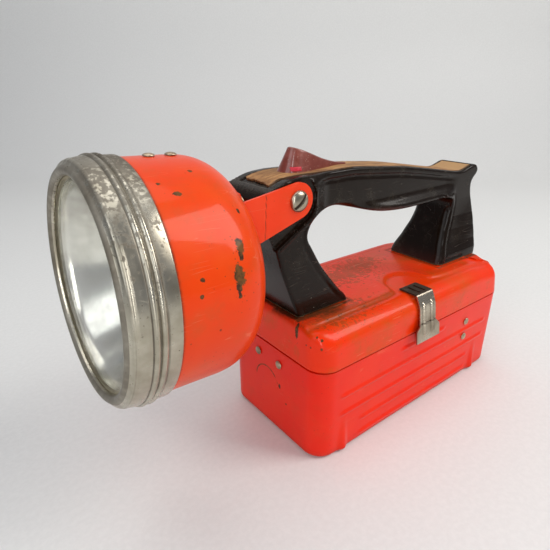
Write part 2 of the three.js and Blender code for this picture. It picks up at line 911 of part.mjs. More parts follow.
// The grip's top and belly, listed from the rear to the front.
const gripTopShares = [
  [0.95, 0.843],
  [0.925, 0.827],
  [0.89, 0.808],
  [0.85, 0.812],
  [0.762, 0.848],
  [0.645, 0.897],
  [0.558, 0.932],
  [0.442, 0.964],
  [0.36, 0.986],
  [0.32, 0.992],
  [0.26, 0.992],
  [0.2, 0.992],
];
const gripBellyShares = [
  [0.93, 0.56],
  [0.84, 0.595],
  [0.79, 0.6],
  [0.692, 0.597],
  [0.553, 0.597],
  [0.446, 0.622],
  [0.345, 0.687],
  [0.273, 0.732],
  [0.2, 0.745],
];

function smoothThrough(shape, shares) {
  const points = handleVectors(shares);
  shape.lineTo(points[0].x, points[0].y);
  shape.splineThru(points.slice(1));
}

function frontLegSide() {
  const shape = new THREE.Shape();
  shape.moveTo(...handlePoint(soleShares[0]));
  smoothThrough(shape, leadingEdgeShares);
  smoothThrough(shape, noseShares);
  const [crownX, crownZ] = handlePoint([0.13, 0.992]);
  const [neckX] = handlePoint(throatShares[0]);
  shape.lineTo(crownX, crownZ);
  shape.lineTo(neckX, crownZ);
  smoothThrough(shape, throatShares);
  shape.lineTo(...handlePoint(soleShares[1]));
  return shape;
}

// End outline that rounds the nose's top edges.
function noseSection() {
  const top = handleTop;
  const shape = new THREE.Shape();
  shape.moveTo(-legHalf, 0);
  shape.lineTo(legHalf, 0);
  shape.lineTo(legHalf, top - noseShoulder);
  shape.quadraticCurveTo(legHalf - legBevel, top - noseShoulder / 3, noseHalf, top);
  shape.lineTo(-noseHalf, top);
  shape.quadraticCurveTo(-legHalf + legBevel, top - noseShoulder / 3, -legHalf, top - noseShoulder);
  return shape;
}

// Plan outline that draws the nose in towards the grip.
function neckPlan() {
  const [frontX] = handlePoint([-0.05, 0]);
  const [wideX] = handlePoint([0.15, 0]);
  const [slimX] = handlePoint([0.24, 0]);
  const shape = new THREE.Shape();
  shape.moveTo(frontX, -legHalf);
  shape.lineTo(wideX, -legHalf);
  shape.bezierCurveTo((wideX + slimX) / 2, -legHalf, (wideX + slimX) / 2, -gripRimHalf, slimX, -gripRimHalf);
  shape.lineTo(slimX, gripRimHalf);
  shape.bezierCurveTo((wideX + slimX) / 2, gripRimHalf, (wideX + slimX) / 2, legHalf, wideX, legHalf);
  shape.lineTo(frontX, legHalf);
  return shape;
}

function frontLeg() {
  const bevel = { bevelEnabled: true, bevelThickness: legBevel, bevelSize: legBevel, bevelOffset: -legBevel, bevelSegments: 2, curveSegments: 2 };
  const side = spanAcross(frontLegSide(), 0, 2 * (legHalf - legBevel), bevel);
  const nose = runAlong(noseSection(), handleFront - legHalf, handleLength);
  const neckLevel = handlePoint(throatShares[4])[1];
  const neck = riseFrom(neckPlan(), neckLevel, handleRise);
  const below = block(handleFront - legHalf, -2 * legHalf, handleSeat, handleLength, 4 * legHalf, neckLevel - handleSeat);
  return side.intersect(nose).intersect(joined(neck, below));
}

// Half widths of the rear leg's end outline against its height, as shares.
const rearFlareShares = [
  [1, 0],
  [0.94, 0.07],
  [0.81, 0.16],
  [0.7, 0.28],
  [0.64, 0.4],
  [0.62, 0.55],
  [0.632, 1.1],
];

function rearLegSection() {
  const side = rearFlareShares.map(([across, up]) => new THREE.Vector2(across * rearHalf, handleSeat + up * handleRise));
  const shape = new THREE.Shape();
  shape.moveTo(side[0].x, side[0].y);
  shape.splineThru(side.slice(1));
  const mirrored = side.map((point) => new THREE.Vector2(-point.x, point.y)).reverse();
  shape.lineTo(mirrored[0].x, mirrored[0].y);
  shape.splineThru(mirrored.slice(1));
  return shape;
}

function rearLegSide() {
  const shape = new THREE.Shape();
  const [startX, startZ] = handlePoint(rearLegBackShares[0]);
  shape.moveTo(startX, startZ);
  shape.splineThru(handleVectors(rearLegBackShares.slice(1)));
  shape.splineThru(handleVectors(tailShares.slice(1)));
  const inner = [...rearLegFrontShares].reverse();
  smoothThrough(shape, inner);
  return shape;
}

function rearLeg() {
  const side = spanAcross(rearLegSide(), 0, 3 * rearHalf, { curveSegments: 2 });
  const section = runAlong(rearLegSection(), 0, 2 * handleRear, { curveSegments: 3 });
  return side.intersect(section);
}

// An upright slab with rounded edges, its top (or foot) on the sweep's curve.
function gripSection(half, from, to, radius) {
  const shape = roundedRect(2 * half, to - from, radius);
  const points = shape.getPoints(arcSteps).map((point) => new THREE.Vector2(point.x, point.y + (from + to) / 2));
  return new THREE.Shape(points);
}

function grip() {
  const steps = 20;
  const deep = handleRise / 2;
  const top = gripTopShares.map(handlePoint);
  const belly = gripBellyShares.map(handlePoint);
  const underTop = sweepAlong(gripSection(gripHalf, -deep, 0, gripCrown), top, steps);
  const overBelly = sweepAlong(gripSection(gripHalf, 0, deep, gripBelly), belly, steps);
  const rim = sweepAlong(gripSection(gripRimHalf, -gripRimTall, 0, gripRimTall / 3), top, steps);
  return joined(underTop.intersect(overBelly), rim);
}

// The pocket in each side of the nose in which a yoke arm swings.
function armPocketSide() {
  const [ledgeX, ledgeZ] = [pivotX - armRadius - 6 * slideGap, pivotZ - 2.4 * armRadius];
  const shape = new THREE.Shape();
  shape.moveTo(pivotX + armPocketRadius, pivotZ);
  shape.absarc(pivotX, pivotZ, armPocketRadius, 0, -Math.PI * 0.36, true);
  shape.lineTo(ledgeX - armRadius / 3, ledgeZ);
  shape.lineTo(ledgeX - 4 * armRadius, ledgeZ);
  shape.lineTo(ledgeX - 4 * armRadius, handleTop + cutOverrun);
  shape.lineTo(pivotX, handleTop + cutOverrun);
  shape.absarc(pivotX, pivotZ, armPocketRadius, Math.PI / 2, 0, true);
  return shape;
}

function armPockets() {
  const across = spanAcross(armPocketSide(), 0, 3 * legHalf);
  const core = block(-caseLength, -armPocketHalf, 0, 2 * caseLength, 2 * armPocketHalf, 2 * handleTop);
  return cut(across, core);
}

// The card strip's line: the grip's top, carried on over the nose, sunk by a depth.
function stripCurve(depth) {
  const forward = [[0.14, 0.991], [0.09, 0.98], [0.05, 0.946]];
  return [...gripTopShares, ...forward].map(handlePoint).map(([x, z]) => [x, z - depth]);
}

function stripBand(half, from, to) {
  const curve = new THREE.SplineCurve(stripCurve(0).map(([x, z]) => new THREE.Vector2(x, z)));
  const points = curve.getPoints(34).map((point) => [point.x, point.y]);
  const upper = points.map(([x, z]) => [x, z - from]);
  const lower = points.map(([x, z]) => [x, z - to]).reverse();
  return spanAcross(polygon([...upper, ...lower]), 0, 2 * half);
}

const stemFront = knobFront + knobLength / 3 - knobStemLength / 2;
const slotFront = stemFront - knobTravel;
const pocketFloor = handleTop - stripThick - switchPocketTall - knobStemDepth / 2;

// Hollows of the moulding: the strip's bed, the switch pocket with its slot, and the wire's way down.
function switchSlot(clear) {
  const length = knobStemLength + 2 * clear + knobTravel;
  const level = pocketFloor + switchPocketTall / 2;
  return block(slotFront - clear, -knobStemHalf - clear, level, length, 2 * (knobStemHalf + clear), handleRise);
}

function switchPocket() {
  const spare = 2 * slideGap;
  const length = knobStemLength + 2 * spare + knobTravel;
  return block(slotFront - spare, -switchPocketHalf, pocketFloor, length, 2 * switchPocketHalf, switchPocketTall);
}

function wireWay() {
  const from = new THREE.Vector3(wireEntryX, 0, handleSeat - cutOverrun);
  const to = new THREE.Vector3(slotFront + wireBore, 0, pocketFloor + fitGap);
  const along = to.clone().sub(from);
  const geometry = new THREE.CylinderGeometry(wireBore, wireBore, along.length(), roundSteps / 2);
  geometry.applyQuaternion(new THREE.Quaternion().setFromUnitVectors(new THREE.Vector3(0, 1, 0), along.clone().normalize()));
  const middle = from.add(along.multiplyScalar(0.5));
  return solid(geometry.translate(middle.x, middle.y, middle.z));
}

function handleMoulding() {
  let body = joined(frontLeg(), grip(), rearLeg());
  body = cut(body, armPockets(), stripBand(stripHalf + fitGap, -cutOverrun, stripThick + stripSink + fitGap));
  body = cut(body, switchPocket(), switchSlot(slideGap), wireWay());
  const bore = rodAlongY(screwShank + fitGap, -2 * legHalf, 4 * legHalf, pivotX, pivotZ, roundSteps / 2);
  const bossHalf = armInner - screwDepth;
  const core = block(-caseLength, -bossHalf, 0, 2 * caseLength, 2 * bossHalf, 2 * handleTop);
  body = cut(body, cut(bore, core));
  for (const place of footScrewPlaces()) body = body.subtract(pinHole(place, [0, 0, -1], footScrewRadius + fitGap, footScrewLength + fitGap));
  return body;
}

piece("handle_moulding", handleMoulding(), "blackPlastic", lid);

// The strip's torn front end, as shares of the knob's length and the strip's half width.
const tornEndShares = [
  [-0.285, 1.1],
  [-0.25, 0.6],
  [-0.28, 0.2],
  [-0.26, -0.1],
  [-0.275, -0.5],
  [-0.24, -0.75],
  [-0.285, -1.1],
];

function handleStrip() {
  const band = stripBand(stripHalf, stripSink, stripThick + stripSink);
  const torn = tornEndShares.map(([along, across]) => [knobFront + along * knobLength, across * stripHalf]);
  const [rearX] = handlePoint([0.945, 0]);
  const keep = polygon([[rearX, -2 * stripHalf], [rearX, 2 * stripHalf], [torn[0][0], 2 * stripHalf], ...torn, [torn.at(-1)[0], -2 * stripHalf]]);
  const plan = riseFrom(keep, handleSeat, 2 * handleRise);
  return cut(band.intersect(plan), switchSlot(slideGap));
}
piece("handle_strip", handleStrip(), "tanCard", lid);

footScrewPlaces().forEach(([x, y, z], i) => {
  const pin = domedPin(footScrewHead, footScrewHeadTall, footScrewRadius, footScrewLength, roundSteps / 2);
  pinAt(`handle_screw_${i + 1}`, pin, [x, y, z], [0, 0, -1], "springSteel", lid);
});

// Pivot screws: slotted dome heads outside the yoke arms, shanks in the handle's nose.

function pivotScrew() {
  const depth = screwDepth + armThick - 2 * fitGap;
  const pin = solid(domedPin(screwHeadRadius, screwHeadTall, screwShank, depth, roundSteps));
  const slotWidth = screwHeadTall / 2;
  const slot = block(-screwHeadRadius, -slotWidth / 2, screwHeadTall / 2, 2 * screwHeadRadius, slotWidth, screwHeadTall);
  return geometryOf(cut(pin, slot.rotate([0, 0, 28])));
}
[-1, 1].forEach((side, i) => {
  const place = [pivotX, side * (armOuter + fitGap), pivotZ];
  pinAt(["pivot_screw_near", "pivot_screw_far"][i], pivotScrew(), place, [0, side, 0], "brightSteel", lid);
});

// Contact leaf on the pocket's floor, under the switch's stem.
function switchLeaf() {
  const length = knobStemLength + knobTravel;
  return block(slotFront, -switchLeafHalf, pocketFloor + fitGap, length, 2 * switchLeafHalf, switchLeafThick);
}
piece("switch_leaf", switchLeaf(), "brass", lid);

// Thumb switch

const knobLevel = handlePoint(gripTopShares.at(-1))[1] - stripSink + fitGap;

function knobPlan() {
  const nose = knobFront + knobHalf;
  const tail = knobFront + knobLength;
  const shape = new THREE.Shape();
  shape.moveTo(nose, -knobHalf);
  shape.bezierCurveTo(nose + knobHalf, -knobHalf, tail - knobLength / 3, -knobHalf / 3, tail, -fitGap);
  shape.lineTo(tail, fitGap);
  shape.bezierCurveTo(tail - knobLength / 3, knobHalf / 3, nose + knobHalf, knobHalf, nose, knobHalf);
  shape.absarc(nose, 0, knobHalf, Math.PI / 2, Math.PI * 1.5, false);
  return shape;
}

// Shares of the knob's length and rise along its back.
const knobBackShares = [
  [0.14, 1],
  [0.25, 0.87],
  [0.4, 0.66],
  [0.56, 0.44],
  [0.78, 0.22],
  [1, 0.1],
];

function knobSide() {
  const points = knobBackShares.map(([along, up]) => new THREE.Vector2(
    knobFront + along * knobLength,
    knobLevel + up * knobRise,
  ));
  const shape = new THREE.Shape();
  shape.moveTo(knobFront + knobLength, knobLevel);
  shape.lineTo(knobFront, knobLevel);
  shape.lineTo(knobFront, points[0].y);
  shape.lineTo(points[0].x, points[0].y);
  shape.splineThru(points.slice(1));
  return shape;
}

// The mark's seat, turned round the knob's nose towards the front.
function markPocket(clear) {
  const depth = markThick + clear;
  const seat = block(
    -markLength / 2 - clear,
    -knobHalf - cutOverrun,
    knobLevel + 2 * fitGap - clear,
    markLength + 2 * clear,
    cutOverrun + depth,
    markTall + 2 * clear,
  );
  return seat.rotate([0, 0, -markTurn]).translate([knobFront + knobHalf, 0, 0]);
}

// The plan drawn upwards, leaning back and growing slimmer towards the top.
function knobForm() {
  const geometry = new THREE.ExtrudeGeometry(knobPlan(), { ...plainExtrude, depth: knobRise, curveSegments: 8 });
  const place = geometry.attributes.position;
  for (let i = 0; i < place.count; i += 1) {
    const up = place.getZ(i) / knobRise;
    const back = 1 - (place.getX(i) - knobFront) / knobLength;
    place.setX(i, place.getX(i) + up * back * knobLean);
    place.setY(i, place.getY(i) * (1 - up * (1 - knobTopShare)));
  }
  return solid(geometry.translate(0, 0, knobLevel));
}

function switchKnob() {
  const body = knobForm().intersect(spanAcross(knobSide(), 0, 4 * knobHalf, { curveSegments: 3 }));
  const stem = block(
    stemFront,
    -knobStemHalf,
    knobLevel - knobStemDepth,
    knobStemLength,
    2 * knobStemHalf,
    knobStemDepth + knobRise / 4,
  );
  return cut(joined(body, stem), markPocket(fitGap));
}
piece("switch_knob", switchKnob(), "knobPlastic", group);

function switchMark() {
  return markPocket(0).intersect(knobForm());
}
piece("switch_mark", switchMark(), "redMark", group);

// Lamp head: its frame sits on the tilt pivot, with the beam along -X

const head = new THREE.Group();
head.position.set(pivotX, 0, pivotZ);
head.rotation.y = THREE.MathUtils.degToRad(headTilt);
group.add(head);

const lensX = -lensReach;
const axisZ = -axisDrop;

// The stack behind the bezel's lip: lens, gasket, reflector flange, then the bowl's edge.
const gasketFront = bezelStep + bezelSteel + lensThick + 2 * fitGap;
const flangeFront = gasketFront + gasketThick + fitGap;
const bowlStart = flangeFront + reflectorWall + fitGap;

// Moves a body made about its own axis from the lens face to its place in the head.
function atAxis(body) {
  return body.translate([lensX, 0, axisZ]);
}

// The bowl's outside: straight, then closing round to the pole. Turn runs from 0 to a quarter.
function bowlPoint(turn, offset = 0) {
  const power = 2 / bowlPower;
  const across = Math.cos(turn) ** power;
  const along = Math.sin(turn) ** power;
  return [bowlStraight + (bowlDepth + offset) * along, (bowlRadius + offset) * across];
}

function bowlCurve(offset, steps) {
  const points = [];
  for (let i = 0; i <= steps; i += 1) points.push(bowlPoint((i / steps) * Math.PI / 2, offset));
  points[steps][1] = 0;
  return points;
}

const bowlSteps = 8;

function bowlShellForm(offset, start) {
  return revolve([[start, 0], [start, bowlRadius + offset], ...bowlCurve(offset, bowlSteps)], headRound);
}

function bowlRivetPlaces() {
  return [-1, 1].map((side) => [lensX + bowlRivetSet + side * bowlRivetSpread / 2, 0, axisZ + bowlRadius]);
}

function yokeRivetFrames() {
  const turn = Math.PI / 2 * 0.62;
  const [along, across] = bowlPoint(turn, saddleThick + 2 * fitGap);
  const normal = [
    ((along - bowlStraight) / bowlDepth) ** (bowlPower - 1) / bowlDepth,
    (across / bowlRadius) ** (bowlPower - 1) / bowlRadius,
  ];
  return [-1, 1].map((side) => {
    const swing = side * Math.asin(yokeRivetHalf / across);
    const [dy, dz] = [Math.sin(swing), Math.cos(swing)];
    return {
      place: [lensX + along, across * dy, axisZ + across * dz],
      facing: [normal[0], normal[1] * dy, normal[1] * dz],
    };
  });
}

function bowl() {
  const outer = bowlShellForm(0, bowlStart);
  const inner = bowlShellForm(-bowlWall, bowlStart - cutOverrun);
  let body = atAxis(cut(outer, inner));
  const hole = rodAlongX(grommetNeck + fitGap, lensX + bowlStraight, 2 * bowlDepth, 0, axisZ, roundSteps / 2);
  body = body.subtract(hole);
  for (const place of bowlRivetPlaces()) body = body.subtract(pinHole(place, [0, 0, 1], bowlRivetShank + fitGap, 3 * bowlWall));
  for (const { place, facing } of yokeRivetFrames()) body = body.subtract(pinHole(place, facing, bowlRivetShank + fitGap, 3 * bowlWall + saddleThick));
  return body;
}
piece("bowl", bowl(), "bowlPaint", head);

bowlRivetPlaces().forEach(([x, y, z], i) => {
  const length = bowlWall + clipThick + 3 * fitGap;
  const pin = domedPin(bowlRivetRadius, bowlRivetTall, bowlRivetShank, length, roundSteps / 2);
  pinAt(`bowl_rivet_${i + 1}`, pin, [x, y, z + fitGap], [0, 0, 1], "springSteel", head);
});

// Spring clip inside the bowl's top, held by the two rivets.
function bezelClip() {
  const outerRadius = bowlRadius - bowlWall - fitGap;
  const ring = revolve([
    [clipFront, outerRadius - clipThick],
    [clipFront, outerRadius],
    [clipRear, outerRadius],
    [clipRear, outerRadius - clipThick],
  ], headRound);
  const keep = block(0, -clipHalf, 0, bowlStraight * 2, 2 * clipHalf, 2 * bowlRadius);
  let body = atAxis(ring.intersect(keep));
  for (const place of bowlRivetPlaces()) body = body.subtract(pinHole(place, [0, 0, 1], bowlRivetShank + fitGap, 6 * bowlWall));
  return body;
}
piece("bezel_clip", bezelClip(), "springSteel", head);

// Yoke: two arms and a saddle that lies on the back of the bowl.
function armSide() {
  const reach = lensReach - bowlStraight;
  const shape = new THREE.Shape();
  const high = Math.atan2(armHighEdge - armRadius, -armBendBack);
  shape.absarc(0, 0, armRadius, Math.PI * 0.52, -Math.PI * 0.36, true);
  const slope = (armLowEdge - armRadius) / armBendBack;
  shape.lineTo(-reach, -armLowEdge - slope * armRadius);
  shape.lineTo(-reach, armHighEdge + Math.sin(high) * fitGap);
  return shape;
}

function armPlan(side) {
  const reach = lensReach - bowlStraight;
  const path = [
    [armRadius + cutOverrun, armOuter],
    [-armBendBack, armOuter],
    [-reach, armOuter - armTaper],
  ].map(([x, y]) => [x, y]);
  const band = bandAlong(path, -armThick);
  const body = riseFrom(band, -2 * armRadius - cutOverrun, 4 * armRadius);
  return side > 0 ? body : body.mirror([0, 1, 0]);
}

function yoke() {
  const outline = spanAcross(armSide(), 0, 4 * legHalf);
  const arms = [1, -1].map((side) => armPlan(side).intersect(outline));
  const clear = atAxis(bowlShellForm(fitGap, bowlStart));
  const saddleOuter = atAxis(bowlShellForm(fitGap + saddleThick, bowlStraight - cutOverrun));
  const window = block(-lensReach, -armOuter + armTaper, -armLowEdge, lensReach - armRadius, 2 * (armOuter - armTaper), armLowEdge + armHighEdge);
  const saddle = saddleOuter.intersect(window);
  let body = cut(joined(...arms, saddle), clear);
  const bore = rodAlongY(screwShank + fitGap, -2 * legHalf, 4 * legHalf, 0, 0, roundSteps / 2);
  body = body.subtract(bore);
  for (const { place, facing } of yokeRivetFrames()) body = body.subtract(pinHole(place, facing, bowlRivetShank + fitGap, 3 * saddleThick));
  return body;
}
piece("yoke", yoke(), "bowlPaint", head);

yokeRivetFrames().forEach(({ place, facing }, i) => {
  const length = bowlWall + saddleThick + 3 * fitGap;
  const pin = domedPin(bowlRivetRadius, bowlRivetTall, bowlRivetShank, length, roundSteps / 2);
  pinAt(`yoke_rivet_${i + 1}`, pin, place, facing, "springSteel", head);
});

// Rubber grommet in the bowl's pole, with its bore for the wires.
function grommet() {
  const pole = bowlStraight + bowlDepth;
  const lip = bowlWall;
  const inside = pole - bowlWall - fitGap;
  const outside = pole + fitGap;
  return atAxis(revolve([
    [inside - lip, grommetBore],
    [inside - lip, grommetRadius],
    [inside, grommetRadius],
    [inside, grommetNeck],
    [outside, grommetNeck],
    [outside, grommetRadius],
    [outside + lip, grommetRadius],
    [outside + lip, grommetBore],
  ], roundSteps));
}
piece("wire_grommet", grommet(), "rubber", head);

// Bezel: rolled nose, step, band, double bead and rear skirt, of one thickness of steel.
function bezelOutside() {
  const bead = (start) => [
    [start, bezelRadius],
    [start + bezelBeadPitch * 0.3, bezelRadius + bezelBead],
    [start + bezelBeadPitch * 0.7, bezelRadius + bezelBead],
  ];
  const beads = [...bead(bezelBeadFront), ...bead(bezelBeadFront + bezelBeadPitch)];
  return [
    [bezelStep, bezelOpening],
    [-bezelNose * 0.7, bezelOpening + bezelNose],
    [-bezelNose, bezelOpening + 2 * bezelNose],
    [-bezelNose * 0.5, bezelOpening + 3 * bezelNose],
    [bezelStep, bezelRadius - 2 * bezelStep],
    [bezelStep * 2, bezelRadius - bezelStep],
    [bezelStep * 3, bezelRadius - bezelStep / 2],
    [bezelBeadFront - bezelStep, bezelRadius],
    ...beads,
    [bezelBeadFront + 2 * bezelBeadPitch, bezelRadius],
    [bezelRear, bezelRadius],
  ];
}

function bezelInside() {
  const bore = bezelRadius - bezelSteel;
  return [
    [bezelRear, bore],
    [bezelStep * 2.4, bore],
    [bezelStep * 2, bore - bezelStep],
    [bezelStep + bezelSteel * 0.2, bezelRadius - 3 * bezelStep],
    [bezelStep, bezelOpening + 3 * bezelNose],
    [bezelStep + bezelSteel * 0.6, bezelOpening + bezelNose],
    [bezelStep + bezelSteel, bezelOpening],
  ];
}

const bezelBody = atAxis(revolve([...bezelOutside(), ...bezelInside()], headRound));
piece("bezel_ring", bezelBody, "brightSteel", head);

// Domed lens glass behind the bezel's lip.
function lens() {
  const face = bezelStep + bezelSteel + fitGap;
  const steps = 4;
  const dome = [];
  for (let i = 0; i <= steps; i += 1) {
    const share = i / steps;
    dome.push([face - lensDome * Math.cos(share * Math.PI / 2), (bezelOpening - fitGap) * Math.sin(share * Math.PI / 2)]);
  }
  dome[0][1] = 0;
  const rear = face + lensThick;
  return atAxis(revolve([...dome, [face, lensRadius], [rear, lensRadius], [rear, 0]], innerRound));
}
piece("lens", lens(), "glass", head);

function lensGasket() {
  const rear = gasketFront + gasketThick;
  return atAxis(revolve([
    [gasketFront, lensRadius - gasketWidth],
    [gasketFront, lensRadius],
    [rear, lensRadius],
    [rear, lensRadius - gasketWidth],
  ], innerRound));
}
piece("lens_gasket", lensGasket(), "rubber", head);

// Reflector: a parabola with a flange that rests on the bowl's front edge.
const vertexBack = flangeFront + reflectorDepth + reflectorWall;

function parabola(offset, steps) {
  const points = [];
  for (let i = 0; i <= steps; i += 1) {
    const radius = reflectorRadius + (reflectorHole - reflectorRadius) * (i / steps);
    const share = (radius / reflectorRadius) ** 2;
    points.push([vertexBack - reflectorDepth * share + offset, radius]);
  }
  return points;
}

function reflector() {
  const steps = 8;
  const mirrored = parabola(0, steps);
  const back = parabola(reflectorWall * 1.6, steps).reverse();
  const flangeRear = flangeFront + reflectorWall;
  const rim = bowlRadius - bowlWall / 2;
  return atAxis(revolve([
    [flangeFront, reflectorRadius],
    [flangeFront, rim],
    [flangeRear, rim],
    [flangeRear, reflectorRadius + reflectorWall],
    ...back.slice().reverse().map(([x, r]) => [x, r]),
    ...mirrored.slice().reverse(),
  ].filter(([x], i, all) => i === 0 || x !== all[i - 1][0] || all[i][1] !== all[i - 1][1]), innerRound));
}
piece("reflector", reflector(), "mirror", head);

// Bulb holder behind the reflector, with the bulb's cap, glass and centre contact.
const socketStart = vertexBack - reflectorDepth * (reflectorHole / reflectorRadius) ** 2 + reflectorWall * 1.6 + fitGap;

function bulbHolder() {
  const bore = bulbBaseRadius + fitGap;
  return atAxis(revolve([
    [socketStart, bore],
    [socketStart, socketFlange],
    [socketStart + reflectorWall, socketFlange],
    [socketStart + reflectorWall, socketRadius],
    [socketStart + socketLength, socketRadius],
    [socketStart + socketLength, bore - bulbContactRadius],
    [socketStart + socketLength - reflectorWall, bore - bulbContactRadius],
    [socketStart + socketLength - reflectorWall, bore],
  ], roundSteps));
}
piece("bulb_holder", bulbHolder(), "brass", head);

const bulbRear = socketStart + socketLength - reflectorWall - 2 * fitGap;
const bulbFront = bulbRear - bulbBaseLength;

function bulbCap() {
  return atAxis(revolve([
    [bulbFront, 0],
    [bulbFront, bulbBaseRadius],
    [bulbRear, bulbBaseRadius],
    [bulbRear, 0],
  ], roundSteps));
}
piece("bulb_cap", bulbCap(), "brass", head);

function bulbGlass() {
  const points = [];
  const steps = 5;
  const foot = bulbFront - fitGap;
  const neck = bulbBaseRadius * 0.8;
  const start = Math.asin(neck / bulbGlassRadius);
  const centre = foot - bulbGlassRadius * Math.cos(start);
  for (let i = 0; i <= steps; i += 1) {
    const turn = start + (i / steps) * (Math.PI - start);
    points.push([centre + bulbGlassRadius * Math.cos(turn), bulbGlassRadius * Math.sin(turn)]);
  }
  points[steps][1] = 0;
  return atAxis(revolve([[foot, 0], ...points], roundSteps));
}
piece("bulb_glass", bulbGlass(), "glass", head);

// Contact button on a tail through the holder's rear hole.
function bulbContact() {
  const radius = bulbContactRadius;
  const start = bulbRear + fitGap;
  return rodAlongX(radius, lensX + start, 3 * fitGap + 2 * reflectorWall, 0, axisZ, roundSteps / 2);
}
piece("bulb_contact", bulbContact(), "brass", head);

export default group;
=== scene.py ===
"""Dresses a box lantern: enamelled case and lid, moulded handle, and a spun lamp head in its yoke."""

import math
from types import SimpleNamespace

import bmesh
import bpy
import numpy as np
from mathutils import Matrix, Vector


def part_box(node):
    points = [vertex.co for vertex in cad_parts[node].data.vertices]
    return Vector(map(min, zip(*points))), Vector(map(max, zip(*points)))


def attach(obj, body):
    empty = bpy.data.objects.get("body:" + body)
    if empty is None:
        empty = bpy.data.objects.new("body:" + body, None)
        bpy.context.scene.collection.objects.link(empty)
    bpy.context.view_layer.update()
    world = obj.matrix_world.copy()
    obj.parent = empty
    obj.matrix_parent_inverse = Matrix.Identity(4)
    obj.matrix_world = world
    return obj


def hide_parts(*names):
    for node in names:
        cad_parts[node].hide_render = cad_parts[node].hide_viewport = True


bl_info = {
    "name": "Box lantern",
    "version": (1, 0, 0),
    "blender": (4, 5, 0),
    "location": "View3D > Sidebar > Lantern",
    "description": "Builds an enamelled box lantern piece by piece over its CAD frame",
    "category": "Add Mesh",
}

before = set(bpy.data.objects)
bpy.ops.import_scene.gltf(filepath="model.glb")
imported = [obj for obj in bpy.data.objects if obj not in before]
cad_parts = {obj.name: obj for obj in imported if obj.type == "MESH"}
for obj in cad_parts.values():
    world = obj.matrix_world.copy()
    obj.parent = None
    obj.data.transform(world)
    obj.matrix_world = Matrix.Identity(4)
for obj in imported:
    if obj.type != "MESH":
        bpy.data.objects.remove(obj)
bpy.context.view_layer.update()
MM = 0.001


# Meshes. Shapes are worked out in millimetres and stored in metres.


def stand(name, data):
    """An object in the scene for a mesh, a lamp or a camera."""
    holder = bpy.data.objects.new(name, data)
    bpy.context.scene.collection.objects.link(holder)
    return holder


def add_layer(mesh, label, values, kind="FLOAT", key="value"):
    """Gives each corner of a mesh a value under a label."""
    mesh.attributes.new(label, kind, "POINT").data.foreach_set(key, np.asarray(values, float).ravel())


def new_piece(name, points, faces, attributes=None):
    """An object with the given corners in millimetres, shaded smooth."""
    mesh = bpy.data.meshes.new(name)
    mesh.from_pydata((np.asarray(points, float) * MM).tolist(), [], faces)
    for label, values in (attributes or {}).items():
        add_layer(mesh, label, values)
    mesh.update()
    piece = stand(name, mesh)
    shade(piece)
    return piece


def corners_of(piece):
    """The corners of a piece in millimetres."""
    points = np.empty(len(piece.data.vertices) * 3)
    piece.data.vertices.foreach_get("co", points)
    return points.reshape(-1, 3) / MM


def shade(piece, sharp_degrees=40):
    """Smooth shading that keeps edges sharper than the given angle."""
    mesh = piece.data
    mesh.polygons.foreach_set("use_smooth", [True] * len(mesh.polygons))
    mesh.set_sharp_from_angle(angle=math.radians(sharp_degrees))
    mesh.update()


def skin(name, rows, closed=True, attributes=None):
    """A surface of quads through rows of corners; closed joins each row's end to its start."""
    rows = np.asarray(rows, float)
    count, columns = rows.shape[:2]
    across = columns if closed else columns - 1
    down, along = np.meshgrid(np.arange(count - 1), np.arange(across), indexing="ij")
    a, b = down * columns + along, down * columns + (along + 1) % columns
    faces = np.stack([a, b, b + columns, a + columns], -1).reshape(-1, 4)
    return new_piece(name, rows.reshape(-1, 3), faces.tolist(), attributes)


def rework(piece, change):
    """Runs change(mesh under edit) on a piece."""
    work = bmesh.new()
    work.from_mesh(piece.data)
    change(work)
    work.to_mesh(piece.data)
    work.free()


def weld(piece, distance=0.0005, shell=True):
    """Merges doubled corners and turns a closed shell's faces outwards."""
    def change(work):
        bmesh.ops.remove_doubles(work, verts=work.verts, dist=distance * MM)
        bmesh.ops.dissolve_degenerate(work, edges=work.edges, dist=distance * MM)
        if shell and work.calc_volume(signed=True) < 0:
            bmesh.ops.reverse_faces(work, faces=work.faces)

    rework(piece, change)
    shade(piece)
    return piece


def face_towards(piece, direction):
    """Turns a sheet's faces over if most of them look away from a direction."""
    direction = Vector(direction)
    if sum(polygon.normal.dot(direction) * polygon.area for polygon in piece.data.polygons) < 0:
        piece.data.flip_normals()


def apply_modifiers(piece):
    """Bakes the modifiers into the piece's own mesh."""
    graph = bpy.context.evaluated_depsgraph_get()
    mesh = bpy.data.meshes.new_from_object(piece.evaluated_get(graph))
    piece.modifiers.clear()
    old = piece.data
    piece.data = mesh
    bpy.data.meshes.remove(old)
    return piece


def thicken(piece, thickness):
    """Gives a sheet its thickness in millimetres, inwards."""
    wall = piece.modifiers.new("thickness", "SOLIDIFY")
    wall.thickness = thickness * MM
    wall.offset = -1.0
    wall.use_even_offset = False
    return apply_modifiers(piece)


def join(name, parts):
    """One object from several, with their meshes together."""
    work = bmesh.new()
    for part in parts:
        work.from_mesh(part.data)
    mesh = bpy.data.meshes.new(name)
    work.to_mesh(mesh)
    work.free()
    for part in parts:
        old = part.data
        bpy.data.objects.remove(part)
        bpy.data.meshes.remove(old)
    return stand(name, mesh)


def fit_out(piece, body, slot, finish, *nodes):
    """Paints a piece, hides the nodes it stands for and fixes it to its body."""
    piece.data.materials.clear()
    piece.data.materials.append(finish)
    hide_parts(*nodes)
    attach(piece, body)


def in_mm(box):
    """A box's two corners in millimetres."""
    return [np.array(corner) / MM for corner in box]


def lengths(group):
    """The lengths of a group of sizes in millimetres, by name."""
    return SimpleNamespace(**{key: getattr(group, key) / MM for key in type(group).__annotations__})


